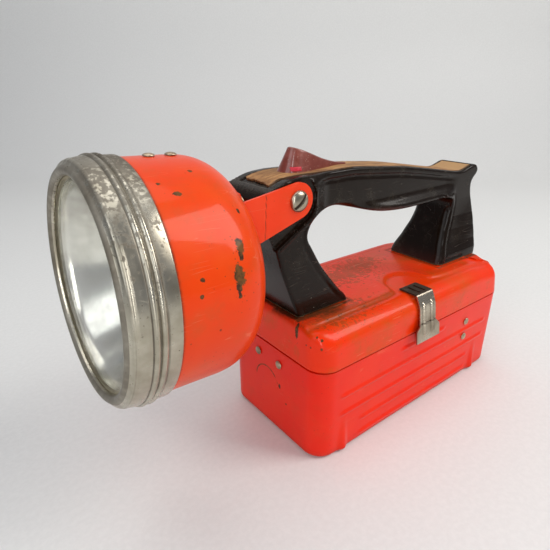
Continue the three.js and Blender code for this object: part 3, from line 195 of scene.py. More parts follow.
def ease(value, low, high):
    """Smooth step from 0 at low to 1 at high."""
    share = np.clip((np.asarray(value, float) - low) / (high - low), 0, 1)
    return share * share * (3 - 2 * share)


def hump(value, middle, half):
    """A rounded bump, 1 at the middle and 0 beyond half its width."""
    share = np.clip(np.abs(np.asarray(value, float) - middle) / half, 0, 1)
    return np.cos(share * math.pi / 2) ** 2


def ripple(points, seed, size):
    """A slow irregular wave over points, between -1 and 1, of about the given size in millimetres."""
    random = np.random.default_rng(seed)
    total = np.zeros(points.shape[:-1])
    for _ in range(6):
        direction = random.normal(size=3)
        direction *= random.uniform(0.7, 1.6) / (size * np.linalg.norm(direction))
        total += np.sin(points @ (2 * math.pi * direction) + random.uniform(0, 2 * math.pi))
    return total / 4


def quarter(steps):
    """Sine and cosine at even steps through a quarter turn."""
    turns = [k / steps * math.pi / 2 for k in range(steps + 1)]
    return [(math.sin(turn), math.cos(turn)) for turn in turns]


def smooth_curve(points, steps):
    """Samples a Catmull-Rom curve through the points."""
    points = np.asarray(points, float)
    padded = np.vstack([2 * points[0] - points[1], points, 2 * points[-1] - points[-2]])
    samples = []
    for i in range(len(points) - 1):
        p0, p1, p2, p3 = padded[i:i + 4]
        for k in range(steps):
            t = k / steps
            samples.append(0.5 * (
                2 * p1 + (p2 - p0) * t + (2 * p0 - 5 * p1 + 4 * p2 - p3) * t ** 2
                + (3 * p1 - p0 - 3 * p2 + p3) * t ** 3
            ))
    samples.append(points[-1])
    return np.array(samples)


# Solids from fields of signed distance, for moulded shapes


def surface_corners(values, low, cell):
    """The corners and quads that wrap the negative part of a sampled field."""
    inside = values < 0
    shape = np.array(values.shape) - 1
    total = np.zeros((*shape, 3))
    count = np.zeros(shape)
    corners = [(i, j, k) for i in (0, 1) for j in (0, 1) for k in (0, 1)]
    window = lambda field, c: field[c[0]:c[0] + shape[0], c[1]:c[1] + shape[1], c[2]:c[2] + shape[2]]
    for a in corners:
        for axis in range(3):
            if a[axis]:
                continue
            b = tuple(a[i] + (i == axis) for i in range(3))
            first, second = window(values, a), window(values, b)
            crossed = window(inside, a) != window(inside, b)
            share = np.where(crossed, first / np.where(crossed, first - second, 1), 0)
            for i in range(3):
                total[..., i] += np.where(crossed, a[i] + share * (i == axis), 0)
            count += crossed
    active = count > 0
    index = np.full(active.shape, -1)
    index[active] = np.arange(active.sum())
    cells = np.argwhere(active)
    points = low + cell * (cells + total[active] / count[active][:, None])
    faces = []
    for axis in range(3):
        u, v = (axis + 1) % 3, (axis + 2) % 3
        lower = np.moveaxis(inside, (axis, u, v), (0, 1, 2))
        order = np.moveaxis(index, (axis, u, v), (0, 1, 2))
        start, end = lower[:-1, 1:-1, 1:-1], lower[1:, 1:-1, 1:-1]
        near = order[:, :-1, :-1], order[:, 1:, :-1], order[:, 1:, 1:], order[:, :-1, 1:]
        quads = np.stack(near, -1)
        faces.append(quads[start & ~end])
        faces.append(quads[~start & end][:, ::-1])
    return points, np.vstack(faces)


def moulded(name, field, low, high, cell):
    """A solid where field(points) is negative, with corners drawn onto the true surface."""
    axes = [np.arange(low[i] - 2 * cell, high[i] + 2 * cell, cell) for i in range(3)]
    sampled = np.stack(np.meshgrid(*axes, indexing="ij"), -1)
    values = field(sampled.reshape(-1, 3)).reshape(sampled.shape[:3])
    start = np.array([axis[0] for axis in axes])
    points, faces = surface_corners(values, start, cell)
    step = cell / 8
    for _ in range(3):
        here = field(points)
        slope = np.stack([
            (field(points + offset) - field(points - offset)) / (2 * step) for offset in np.eye(3) * step
        ], -1)
        length = np.maximum((slope ** 2).sum(-1), 0.25)
        move = slope * (here / length)[:, None]
        points = points - np.clip(move, -cell / 2, cell / 2)
    piece = weld(new_piece(name, points, faces.tolist()))
    rework(piece, lambda work: bmesh.ops.holes_fill(
        work, edges=[edge for edge in work.edges if edge.is_boundary], sides=8,
    ))
    shade(piece)
    return piece


def polygon_distance(points, outline):
    """Signed distance from 2-D points to a closed outline, negative inside."""
    batch, result = 20000, np.empty(len(points))
    start, end = outline, np.roll(outline, -1, axis=0)
    edge = end - start
    length = np.maximum((edge ** 2).sum(-1), 1e-12)
    for first in range(0, len(points), batch):
        chunk = points[first:first + batch]
        offset = chunk[:, None] - start[None]
        share = np.clip((offset * edge).sum(-1) / length, 0, 1)
        gap = offset - share[..., None] * edge
        nearest = np.sqrt((gap ** 2).sum(-1).min(1))
        y, above, below = chunk[:, None, 1], start[None, :, 1], end[None, :, 1]
        spans = (above > y) != (below > y)
        rise = np.where(spans, below - above, 1)
        x = start[None, :, 0] + (y - above) * edge[None, :, 0] / rise
        inside = (spans & (chunk[:, None, 0] < x)).sum(1) % 2 == 1
        result[first:first + batch] = np.where(inside, -nearest, nearest)
    return result


def rounded_and(first, second, radius):
    """The overlap of two fields with a rounded edge between them."""
    a, b = first + radius, second + radius
    outside = np.hypot(np.maximum(a, 0), np.maximum(b, 0))
    return np.minimum(np.maximum(a, b), 0) + outside - radius


# Finishes


def add_node(tree, kind, settings, values):
    """A node of a type; settings go first, then the values or sockets for its inputs."""
    node = tree.nodes.new(kind)
    for label, value in settings.items():
        setattr(node, label, value)
    for key, value in values.items():
        if isinstance(value, bpy.types.NodeSocket):
            tree.links.new(value, node.inputs[key])
        else:
            node.inputs[key].default_value = value
    return node


class Wire:
    """A shader socket that takes part in arithmetic."""

    def __init__(self, finish, socket):
        self.finish, self.socket = finish, socket

    def maths(self, operation, *values):
        return self.finish.add("ShaderNodeMath", {"operation": operation}, dict(enumerate(values)))

    def __add__(self, other):
        return self.maths("ADD", self, other)

    def __sub__(self, other):
        return self.maths("SUBTRACT", self, other)

    def __rsub__(self, other):
        return self.maths("SUBTRACT", other, self)

    def __mul__(self, other):
        return self.maths("MULTIPLY", self, other)

    def most(self, other):
        return self.maths("MAXIMUM", self, other)

    def least(self, other):
        return self.maths("MINIMUM", self, other)

    def size(self):
        return self.maths("ABSOLUTE", self)

    def eased(self, low, high):
        """0 below low, 1 above high and smooth between; high may be the smaller."""
        settings = {"interpolation_type": "SMOOTHSTEP", "clamp": True}
        return self.finish.add("ShaderNodeMapRange", settings, {0: self, 1: low, 2: high, 3: 0.0, 4: 1.0})

    __radd__ = __add__
    __rmul__ = __mul__


class Finish:
    """A material under construction, with its patterns on Object coordinates in metres."""

    def __init__(self, name):
        self.material = bpy.data.materials.new(name)
        self.material.use_nodes = True
        self.tree = self.material.node_tree
        self.tree.nodes.clear()
        self.place = self.add("ShaderNodeTexCoord", {}, {}, "Object")
        self.colour = None

    def add(self, kind, settings, values, output=0):
        """A wire from a new node's output; other wires may be among the values."""
        values = {key: value.socket if isinstance(value, Wire) else value for key, value in values.items()}
        node = add_node(self.tree, kind, settings, values)
        return Wire(self, node.outputs[output]) if node.outputs else None

    def mapped(self, location, turn=(0, 0, 0), stretch=(1, 1, 1)):
        """The place on the piece, shifted, turned and stretched."""
        return self.add("ShaderNodeMapping", {}, {
            "Vector": self.place, "Location": location, "Rotation": turn, "Scale": stretch,
        })

    def noise(self, scale, detail=3.0, roughness=0.55, stretch=(1, 1, 1), turn=(0, 0, 0), shift=0.0, warp=0.0):
        place = self.mapped((shift, shift * 0.7, -shift), turn, stretch)
        values = {"Vector": place, "Scale": scale, "Detail": detail, "Roughness": roughness, "Distortion": warp}
        return self.add("ShaderNodeTexNoise", {}, values)

    def specks(self, scale, radius, shift=0.0):
        """1 in scattered small round spots."""
        values = {"Vector": self.mapped((shift, -shift, shift * 0.6)), "Scale": scale, "Randomness": 1.0}
        return self.add("ShaderNodeTexVoronoi", {"feature": "F1"}, values, "Distance").eased(radius, radius * 0.5)

    def scratches(self, scale, turn, width, shift=0.0):
        """1 along thin broken lines that run about one way."""
        lines = self.noise(scale, 1.0, 0.4, stretch=(0.06, 1, 1), turn=turn, shift=shift, warp=0.25)
        breaks = self.noise(scale * 0.35, 2.0, 0.5, shift=shift + 3).eased(0.56, 0.66)
        return (lines - 0.5).size().eased(width, width * 0.3) * breaks

    def drawn(self, label):
        """A mask that the mesh holds for each corner."""
        return self.add("ShaderNodeAttribute", {"attribute_name": label}, {}, "Fac")

    def distance(self, spot, shape):
        """Distance in metres from a spot given in millimetres, with each axis weighed by shape."""
        def step(operation, *values, output=0):
            return self.add("ShaderNodeVectorMath", {"operation": operation}, dict(enumerate(values)), output)

        away = step("SUBTRACT", self.place, [value * MM for value in spot])
        return step("LENGTH", step("MULTIPLY", away, shape), output="Value")

    def near(self, spot, radius, shape=(1, 1, 1), ragged=0.35):
        """1 close to a spot given in millimetres, with a ragged edge."""
        distance = self.distance(spot, shape)
        torn = self.noise(520.0, 3.0, 0.65, shift=spot[0] * 0.01) - 0.5
        return (distance * (1 / (radius * MM)) + torn * (5 * ragged)).eased(1.08, 1.0 - ragged * 0.5)

    def ring(self, spot, radius, width, level):
        """1 along a thin ring round the X direction about a spot, above a level; all in millimetres."""
        distance, front_face = self.distance(spot, (0, 1, 1)), -79
        height, front = (self.add("ShaderNodeSeparateXYZ", {}, {0: self.place}, axis) for axis in "ZX")
        line = (distance - radius * MM).size().eased(width * MM, width * 0.3 * MM)
        shown = height.eased((level - 1) * MM, (level + 3) * MM)
        shown = shown * front.eased(front_face * MM, (front_face - 0.6) * MM)
        return line * shown * self.noise(150.0, 3.0, 0.6).eased(0.36, 0.52)

    def over(self, mask, colour, base=None):
        """Lays a colour over the base, or else over what is there, where the mask is 1."""
        pair = [part if isinstance(part, Wire) else (*part[:3], 1.0) for part in (base or self.colour, colour)]
        settings = {"data_type": "RGBA", "clamp_factor": True}
        self.colour = self.add("ShaderNodeMix", settings, {0: mask, 6: pair[0], 7: pair[1]}, 2)

    def surface(self, roughness, bump, depth, **constants):
        """Ends the material with a Principled shader; bump is a height from 0 to 1, depth in millimetres."""
        normal = self.add("ShaderNodeBump", {}, {"Height": bump, "Distance": depth * MM, "Strength": 1.0})
        values = {"Base Color": self.colour, "Roughness": roughness, **constants, "Normal": normal}
        shader = self.add("ShaderNodeBsdfPrincipled", {}, values)
        self.add("ShaderNodeOutputMaterial", {}, {"Surface": shader})
        return self.material


def rgb(red, green, blue):
    """A linear colour from sRGB steps of 0 to 255."""
    def linear(step):
        share = step / 255
        return share / 12.92 if share <= 0.04045 else ((share + 0.055) / 1.055) ** 2.4
    return (linear(red), linear(green), linear(blue), 1.0)


def enamel(name, fresh, faded, dust, chips=(), stains=(), age=1.0, rings=()):
    """Baked enamel that has faded, browned where it is rubbed and chipped through to dull metal."""
    paint = Finish(name)
    clouds = paint.noise(24.0, 4.0, 0.6, shift=1.7)
    blotches = paint.noise(85.0, 4.0, 0.65, shift=5.1)
    fine = paint.noise(620.0, 3.0, 0.6, shift=2.2)
    grit = paint.noise(240.0, 5.0, 0.7, shift=7.0)
    paint.over(clouds.eased(0.38, 0.68), faded, fresh)
    paint.over(blotches.eased(0.48, 0.75) * (0.5 * age), dust)
    rub = paint.drawn("wear_and_reflection")
    for spot, radius, shape in stains:
        rub = rub.most(paint.near(spot, radius, shape, 0.9) * 0.62)
    for ring in rings:
        rub = rub.most(paint.ring(*ring))
    paint.over((rub * (0.3 + grit * 1.4)).eased(0.08, 0.95) * 0.8, rgb(132, 66, 22))
    # Brown from the mesh's layer: dirt, and painted shade along the seam of the case and lid.
    film_and_shade = paint.drawn("grime_and_shade") * (0.5 + fine * 0.7)
    paint.over(film_and_shade.eased(0.12, 1.0), rgb(80, 44, 18))
    pores = paint.specks(480.0, 0.15, shift=1.0) * paint.noise(60.0, 2.0, shift=9.0).eased(0.47, 0.62)
    paint.over(pores * (0.6 * age), rgb(92, 44, 22))
    marks = paint.scratches(260.0, (0.3, 0.5, 0.9), 0.010).most(paint.scratches(240.0, (1.2, 0.2, -0.7), 0.008, 4.0))
    paint.over(marks * (0.25 * age), rgb(238, 150, 112))
    bare = (rub * 1.1 + (grit - 0.5) * 1.5).eased(0.98, 1.12) * 0.8
    bare = bare.most(paint.specks(150.0, 0.10, shift=2.0) * paint.noise(42.0, 2.0, shift=4.0).eased(0.6, 0.64) * age)
    for spot, radius, shape in chips:
        bare = bare.most(paint.near(spot, radius, shape))
    enamelled = paint.colour
    paint.over(grit.eased(0.35, 0.6), rgb(52, 34, 22), rgb(112, 74, 36))
    paint.over(bare, paint.colour, enamelled)
    peel = paint.noise(1500.0, 2.0, 0.5, shift=3.0)
    roughness = 0.27 + clouds * 0.12 + rub * 0.2 + film_and_shade * 0.3 + bare * 0.3 + fine * 0.06
    height = (peel * 0.10 + paint.noise(160.0, 2.0) * 0.22 + 0.5) - bare * 0.45 - marks * 0.05
    gloss = {"Specular IOR Level": 0.12, "Coat Weight": 0.22, "Coat Roughness": 0.07}
    return paint.surface(roughness, height, 0.07, **gloss)


def dulled_chrome(name, bright, dull, grime_and_shade=0.6, soot=()):
    """Chromed sheet that has hazed, with fine turning marks, pits and brown dirt in its hollows, and the same brown
    as painted shade beside the latch's ribs and a painted dark reflection on the bezel's nose.
    """
    steel = Finish(name)
    haze = steel.noise(45.0, 4.0, 0.6, shift=2.4)
    fine = steel.noise(700.0, 3.0, 0.65)
    steel.over(haze.eased(0.35, 0.7), dull, bright)
    # Brown dirt, painted shade and painted dark reflection, all from the mesh's layer.
    dirt_and_shade = (steel.drawn("grime_and_shade") * (0.5 + steel.noise(260.0, 3.0, 0.6) * 1.0)).eased(0.2, 0.95) * grime_and_shade
    for spot, radius in soot:
        dirt_and_shade = dirt_and_shade.most(steel.near(spot, radius, ragged=1.1) * (0.25 + haze * 0.6))
    steel.over(dirt_and_shade, rgb(58, 42, 28))
    pits = steel.specks(520.0, 0.15) * steel.noise(70.0, 3.0, shift=6.0).eased(0.52, 0.66)
    steel.over(pits * 0.8, rgb(48, 40, 32))
    marks = steel.scratches(330.0, (0.2, 0.9, 0.4), 0.012).most(steel.scratches(280.0, (0.9, 0.1, 1.3), 0.010, 2.0))
    roughness = 0.17 + haze * 0.16 + dirt_and_shade * 0.35 + pits * 0.3 + fine * 0.06 + marks * 0.15
    height = 0.5 + haze * 0.3 + fine * 0.05 - pits * 0.25 - marks * 0.08
    return steel.surface(roughness, height, 0.025, Metallic=1.0 - dirt_and_shade * 0.75)


def plain_metal(name, bright, dull, rough=0.3):
    """Bare stamped metal with tarnish and handling marks."""
    metal = Finish(name)
    tarnish = metal.noise(130.0, 4.0, 0.65, shift=1.1)
    fine = metal.noise(1400.0, 2.0, 0.6)
    metal.over(tarnish.eased(0.4, 0.72), dull, bright)
    marks = metal.scratches(420.0, (0.4, 0.3, 0.2), 0.016)
    roughness = rough + tarnish * 0.18 + marks * 0.1 + fine * 0.05
    return metal.surface(roughness, 0.5 + tarnish * 0.25 + fine * 0.1 - marks * 0.1, 0.03, Metallic=0.95)


def black_moulding(name, colour, painted_reflection):
    """Glossy black plastic with a painted red-brown reflection where its layer asks for it, with dust and light
    scratches.
    """
    plastic = Finish(name)
    dust = plastic.noise(75.0, 4.0, 0.65, shift=1.4)
    fine = plastic.noise(900.0, 3.0, 0.6)
    # Painted reflection of the red case and lid, laid red-brown over the black.
    plastic.over(plastic.drawn("wear_and_reflection").eased(0.05, 0.95), painted_reflection, colour)
    plastic.over(dust.eased(0.52, 0.8) * 0.10, rgb(120, 112, 96))
    film_and_shade = (plastic.drawn("grime_and_shade") * (0.4 + fine)).eased(0.15, 0.9)
    plastic.over(film_and_shade * 0.55, rgb(142, 124, 92))
    marks = plastic.scratches(300.0, (0.7, 0.2, 0.5), 0.010)
    marks = marks.most(plastic.scratches(270.0, (0.1, 1.1, -0.4), 0.008, 3.0))
    plastic.over(marks * 0.14, rgb(150, 140, 128))
    motes = plastic.specks(420.0, 0.09, shift=3.0) * plastic.noise(90.0, 2.0, shift=2.0).eased(0.55, 0.62)
    plastic.over(motes * 0.7, rgb(190, 182, 165))
    roughness = 0.16 + dust * 0.14 + film_and_shade * 0.45 + marks * 0.2 + fine * 0.04
    height = 0.5 + plastic.noise(140.0, 3.0) * 0.3 + fine * 0.04 - marks * 0.12
    return plastic.surface(roughness, height, 0.05, **{"Specular IOR Level": 0.12, "Coat Weight": 0.12})


def fibre_card(name, colour, dark, clean):
    """Worn brown fibre card: matted grain along its length, dark handling stains and a cleaner end."""
    card = Finish(name)
    grain = card.noise(420.0, 4.0, 0.7, stretch=(0.18, 1, 1))
    flecks = card.noise(1300.0, 3.0, 0.7, stretch=(0.4, 1, 1), shift=3.0)
    stain = card.noise(70.0, 4.0, 0.6, shift=6.0)
    card.over(grain.eased(0.34, 0.68), colour, dark)
    card.over(stain.eased(0.52, 0.74) * 0.5, rgb(104, 64, 30))
    card.over(flecks.eased(0.62, 0.72) * 0.4, rgb(214, 176, 118))
    card.over(card.drawn("clean").eased(0.1, 0.9) * (0.75 + flecks * 0.3), clean)
    card.over((card.drawn("grime_and_shade") * (0.6 + flecks)).eased(0.2, 0.9) * 0.85, rgb(52, 32, 18))
    return card.surface(0.62 + grain * 0.25, grain * 0.7 + flecks * 0.3, 0.16)


def knob_plastic(name, colour, bright):
    """Dark red-brown plastic, rubbed shiny, with whitish specks."""
    knob = Finish(name)
    clouds = knob.noise(160.0, 4.0, 0.65)
    knob.over(clouds.eased(0.4, 0.7), bright, colour)
    specks = knob.specks(620.0, 0.13).most(knob.specks(380.0, 0.10, shift=2.0))
    knob.over(specks * 0.75, rgb(206, 176, 158))
    marks = knob.scratches(500.0, (0.3, 0.8, 0.2), 0.014)
    knob.over(marks * 0.3, rgb(190, 140, 124))
    roughness = 0.24 + clouds * 0.14 + specks * 0.3
    return knob.surface(roughness, 0.5 + clouds * 0.3 - marks * 0.1, 0.04, **{"Coat Weight": 0.6})


def soft_matt(name, colour, dusty, rough, scale):
    """Rubber, fibre board or wrapper: matt, faintly mottled and dusty."""
    matt = Finish(name)
    mottle = matt.noise(scale, 4.0, 0.65)
    matt.over(mottle.eased(0.4, 0.72), dusty, colour)
    return matt.surface(rough + mottle * 0.15, mottle, 0.08)


def clear_glass(name, dusty):
    """Glass with a film of dust towards its rim and a few fine scratches."""
    glass = Finish(name)
    film_and_shade = (glass.drawn("grime_and_shade") * (0.5 + glass.noise(210.0, 4.0, 0.6))).eased(0.25, 1.0)
    haze = glass.noise(60.0, 3.0, 0.6).eased(0.35, 0.85)
    marks = glass.scratches(300.0, (1.4, 0.3, 0.8), 0.008)
    cover = (film_and_shade * 0.75 + haze * 0.07 + marks * 0.12 + 0.02).least(0.9)
    shell = glass.add("ShaderNodeBsdfPrincipled", {}, {
        "Base Color": (1.0, 1.0, 1.0, 1.0), "Roughness": 0.03, "Transmission Weight": 1.0, "IOR": 1.08,
    })
    dirt_and_shade = glass.add("ShaderNodeBsdfPrincipled", {}, {"Base Color": dusty, "Roughness": 0.55})
    mixed = glass.add("ShaderNodeMixShader", {}, {0: cover, 1: shell, 2: dirt_and_shade})
    glass.add("ShaderNodeOutputMaterial", {}, {"Surface": mixed})
    return glass.material


def mirror(name, colour):
    """Polished reflector that has clouded a little."""
    silver = Finish(name)
    cloud = silver.noise(55.0, 3.0, 0.6)
    fine = silver.noise(1100.0, 2.0, 0.6)
    silver.over(cloud.eased(0.35, 0.75), rgb(198, 194, 182), colour)
    silver.over(silver.specks(300.0, 0.07) * 0.7, rgb(120, 108, 88))
    return silver.surface(0.13 + cloud * 0.16, 0.5 + fine * 0.06 + cloud * 0.2, 0.03, Metallic=1.0)


# Sizes and colours that a user would change


def length(label, millimetres):
    """A length that a user may change."""
    return bpy.props.FloatProperty(
        name=label, default=millimetres * MM, unit="LENGTH", subtype="DISTANCE", precision=5, min=0.0,
    )


def colour(label, *steps):
    """A colour that a user may change, from sRGB steps."""
    return bpy.props.FloatVectorProperty(
        name=label, default=rgb(*steps)[:3], subtype="COLOR", size=3, min=0.0, max=1.0,
    )


class CaseSizes(bpy.types.PropertyGroup):
    """Sizes of the pressed case and lid."""
    long_side: length("Length of the case", 160.0)
    short_side: length("Width of the case", 76.0)
    corner: length("Radius of the upright corners", 10.7)
    seam: length("Height of the seam", 51.4)
    wall: length("Thickness of the sheet", 1.0)
    bottom_round: length("Radius of the bottom edge", 3.0)
    rib_half: length("Half height of a rib", 2.0)
    rib_proud: length("Depth of a rib", 0.9)
    foot_proud: length("Depth of a foot bulge", 2.0)
    shoulder: length("Height of the shoulder", 72.0)
    plateau: length("Height of the plateau", 73.0)


class HandleSizes(bpy.types.PropertyGroup):
    """Sizes of the handle, its card strip and its thumb switch."""
    long_side: length("Length of the handle", 172.0)
    rise: length("Height above the lid", 67.0)
    leg_half: length("Half width of the front leg", 17.2)
    rear_half: length("Half width of the rear foot", 19.3)
    grip_half: length("Half width of the grip", 11.4)
    pocket_half: length("Half width between the arm pockets", 15.0)
    cell: length("Sampling cell of the moulding", 0.6)
    strip_half: length("Half width of the card strip", 10.2)
    knob_long: length("Length of the switch", 42.0)
    knob_half: length("Half width of the switch", 6.6)
    knob_rise: length("Height of the switch", 11.4)


class HeadSizes(bpy.types.PropertyGroup):
    """Sizes of the lamp head; distances back start at the lens face."""
    bowl_radius: length("Outer radius of the bowl", 45.3)
    bowl_straight: length("Start of the bowl's close", 37.0)
    bowl_depth: length("Depth of the bowl's close", 25.5)
    bezel_radius: length("Outer radius of the bezel", 46.4)
    bezel_rear: length("Rear edge of the bezel", 16.7)
    opening: length("Radius of the opening", 40.0)
    reach: length("Tilt pivot to lens face", 86.7)
    drop: length("Tilt pivot down to the beam", 25.9)
    tilt: bpy.props.FloatProperty(name="Upward lean at rest", default=math.radians(2.6), subtype="ANGLE")


class Colours(bpy.types.PropertyGroup):
    """Colours of the finishes."""
    case_red: colour("Case", 238, 34, 8)
    case_faded: colour("Case, faded", 242, 46, 14)
    lid_red: colour("Lid", 240, 50, 2)
    lid_faded: colour("Lid, faded", 224, 66, 6)
    bowl_orange: colour("Bowl", 230, 62, 4)
    bowl_faded: colour("Bowl, faded", 232, 76, 12)
    arm_orange: colour("Yoke", 236, 58, 10)
    black: colour("Handle", 24, 15, 8)
    chrome: colour("Brightwork", 200, 194, 178)
    card: colour("Card strip", 186, 138, 84)
    knob: colour("Thumb switch", 118, 46, 30)


# The stage


CAMERA_TURN, CAMERA_PITCH, CAMERA_ROLL = (math.radians(degrees) for degrees in (-37.6, 23.1, -0.1))
CAMERA_PLACE = (-199.84, -159.52, 176.0)
SENSOR_WIDTH, FOCAL_PIXELS, PICTURE_PIXELS = 36.0, 450, 550
LAMP_AIM = (-40, 0, 70)
LAMPS = (
    ("key", (620, -620, 900), (0.55, 0.8), 9.2, (1.0, 0.97, 0.93)),
    ("window", (-900, -260, 620), (0.5, 0.9), 2.5, (0.92, 0.96, 1.0)),
    ("corner", (-500, -640, 240), (0.07, 0.9), 2.0, (1.0, 1.0, 1.0)),
    ("top", (-100, 260, 1100), (0.9, 0.9), 4.0, (1.0, 0.99, 0.97)),
)


class LANTERN_OT_stage(bpy.types.Operator):
    """Sets the floor, the lamps and the camera"""
    bl_idname = "lantern.stage"
    bl_label = "Stage"

    def execute(self, context):
        self.floor()
        self.lamps(context.scene)
        self.camera(context.scene)
        return {"FINISHED"}

    def floor(self):
        """A pale table top that curves up behind into a pale wall."""
        front, back, top, half_width, bend, sunk = -1800.0, 900.0, 1500.0, 3200.0, 300.0, 0.02
        profile = [(front, 0.0), (back - bend, 0.0)]
        profile += [(back - bend + bend * sine, bend - bend * cosine) for sine, cosine in quarter(12)[1:]]
        profile.append((back, top))
        ahead = np.array([-math.sin(CAMERA_TURN), math.cos(CAMERA_TURN), 0])
        side = np.array([math.cos(CAMERA_TURN), math.sin(CAMERA_TURN), 0])
        rows = [
            [ahead * y + side * x + np.array([0, 0, z - sunk]) for x in (-half_width, half_width)]
            for y, z in profile
        ]
        piece = skin("table_top", np.array(rows), closed=False)
        tone = Finish("pale_table")
        fine = tone.noise(380.0, 3.0, 0.6)
        tone.over(fine.eased(0.3, 0.75), rgb(229, 229, 227), rgb(224, 224, 222))
        piece.data.materials.append(tone.surface(0.5 + fine * 0.1, fine, 0.02))

    def lamps(self, scene):
        scene.world = bpy.data.worlds.new("studio")
        scene.world.use_nodes = True
        background = scene.world.node_tree.nodes["Background"].inputs
        background["Color"].default_value = (0.86, 0.9, 1.0, 1.0)
        background["Strength"].default_value = 0.26
        for name, place, size, power, tint in LAMPS:
            lamp = bpy.data.lights.new(name, "AREA")
            lamp.shape = "RECTANGLE"
            lamp.size, lamp.size_y = size
            lamp.energy, lamp.color = power, tint
            holder = stand(name, lamp)
            holder.location = Vector(place) * MM
            aim = Vector(LAMP_AIM) * MM - holder.location
            holder.rotation_euler = aim.to_track_quat("-Z", "Y").to_euler()

    def camera(self, scene):
        """The photograph's view: 37.6 degrees round from the side, 23.1 degrees above."""
        turn, pitch = CAMERA_TURN, CAMERA_PITCH
        back = Vector((math.sin(turn) * math.cos(pitch), -math.cos(turn) * math.cos(pitch), math.sin(pitch)))
        camera = bpy.data.cameras.new("camera")
        camera.sensor_width = SENSOR_WIDTH
        camera.lens = SENSOR_WIDTH * FOCAL_PIXELS / PICTURE_PIXELS
        camera.clip_start = 0.01
        holder = stand("camera", camera)
        holder.location = Vector(CAMERA_PLACE) * MM
        facing = (-back).to_track_quat("-Z", "Y").to_matrix() @ Matrix.Rotation(CAMERA_ROLL, 3, "Z")
        holder.rotation_euler = facing.to_euler()
        scene.camera = holder
        scene.view_settings.view_transform = "Standard"


# Pressed case and lid


def rounded_loop(long_side, short_side, corner, straight, corner_steps):
    """Points round a rectangle with round corners, counter-clockwise, and the outward direction at each."""
    half_x, half_y = long_side / 2 - corner, short_side / 2 - corner
    points, normals = [], []
    ends = [(half_x, -half_y, -90), (half_x, half_y, 0), (-half_x, half_y, 90), (-half_x, -half_y, 180)]
    for i, (x, y, start) in enumerate(ends):
        for k in range(corner_steps + 1):
            turn = math.radians(start + 90 * k / corner_steps)
            normal = (math.cos(turn), math.sin(turn))
            points.append((x + corner * normal[0], y + corner * normal[1]))
            normals.append(normal)
        following = ends[(i + 1) % 4]
        last = points[-1]
        turn = math.radians(following[2])
        first = (following[0] + corner * math.cos(turn), following[1] + corner * math.sin(turn))
        count = max(2, round(math.dist(last, first) / straight))
        for k in range(1, count):
            points.append(tuple(last[j] + (first[j] - last[j]) * k / count for j in (0, 1)))
            normals.append(normals[-1])
    return np.array(points), np.array(normals)


class Plan:
    """The pressed box's outline in plan, and rows of corners drawn from it."""

    def __init__(self, size, straight):
        self.loop, self.normals = rounded_loop(size.long_side, size.short_side, size.corner, straight, 14)
        spine_half = 42
        self.spine = np.stack([np.clip(self.loop[:, 0], -spine_half, spine_half), np.zeros(len(self.loop))], -1)

    def ring(self, inset, height, share=1.0):
        """A row inset from the outline, and drawn in towards the spine where share is under 1."""
        plan = self.loop - self.normals * np.reshape(inset, (-1, 1))
        if share < 1:
            plan = self.spine + (plan - self.spine) * share
        return np.column_stack([plan, np.broadcast_to(height, len(plan))])

    def push(self, rows, distance):
        """Moves rows outwards, square to the outline."""
        for axis in (0, 1):
            rows[..., axis] += self.normals[:, axis] * distance


RIBS = ((5.2, -49, 49), (14.6, -49, 49), (24.3, -64, 64), (35.0, -64, 64))
LATCH_RIB = (44.5, -19.2, 17.6)
FOOT_PLACES = (-62.5, 57.0)
FOOT_HALF = 4.4
FOOT_TALL = 22.0


def rib_bulge(points, side, size):
    """How far the long sides are pressed out at each point, in millimetres."""
    x, z = points[..., 0], points[..., 2]
    bulge = np.zeros(x.shape)
    for height, start, end, both in [(*rib, True) for rib in RIBS] + [(*LATCH_RIB, False)]:
        ends = ease(x, start - 2.5, start + 1.5) * (1 - ease(x, end - 1.5, end + 2.5))
        shown = np.abs(side) if both else np.clip(-side, 0, 1)
        bulge = np.maximum(bulge, size.rib_proud * hump(z, height, size.rib_half) * ends * (shown > 0.9))
    fade = np.clip(1 - z / FOOT_TALL, 0, 1)
    for middle in FOOT_PLACES:
        width = FOOT_HALF * (0.55 + 0.45 * fade)
        foot = size.foot_proud * fade * hump((x - middle) / width, 0, 1)
        bulge = np.maximum(bulge, foot * (np.abs(side) > 0.9))
    return bulge


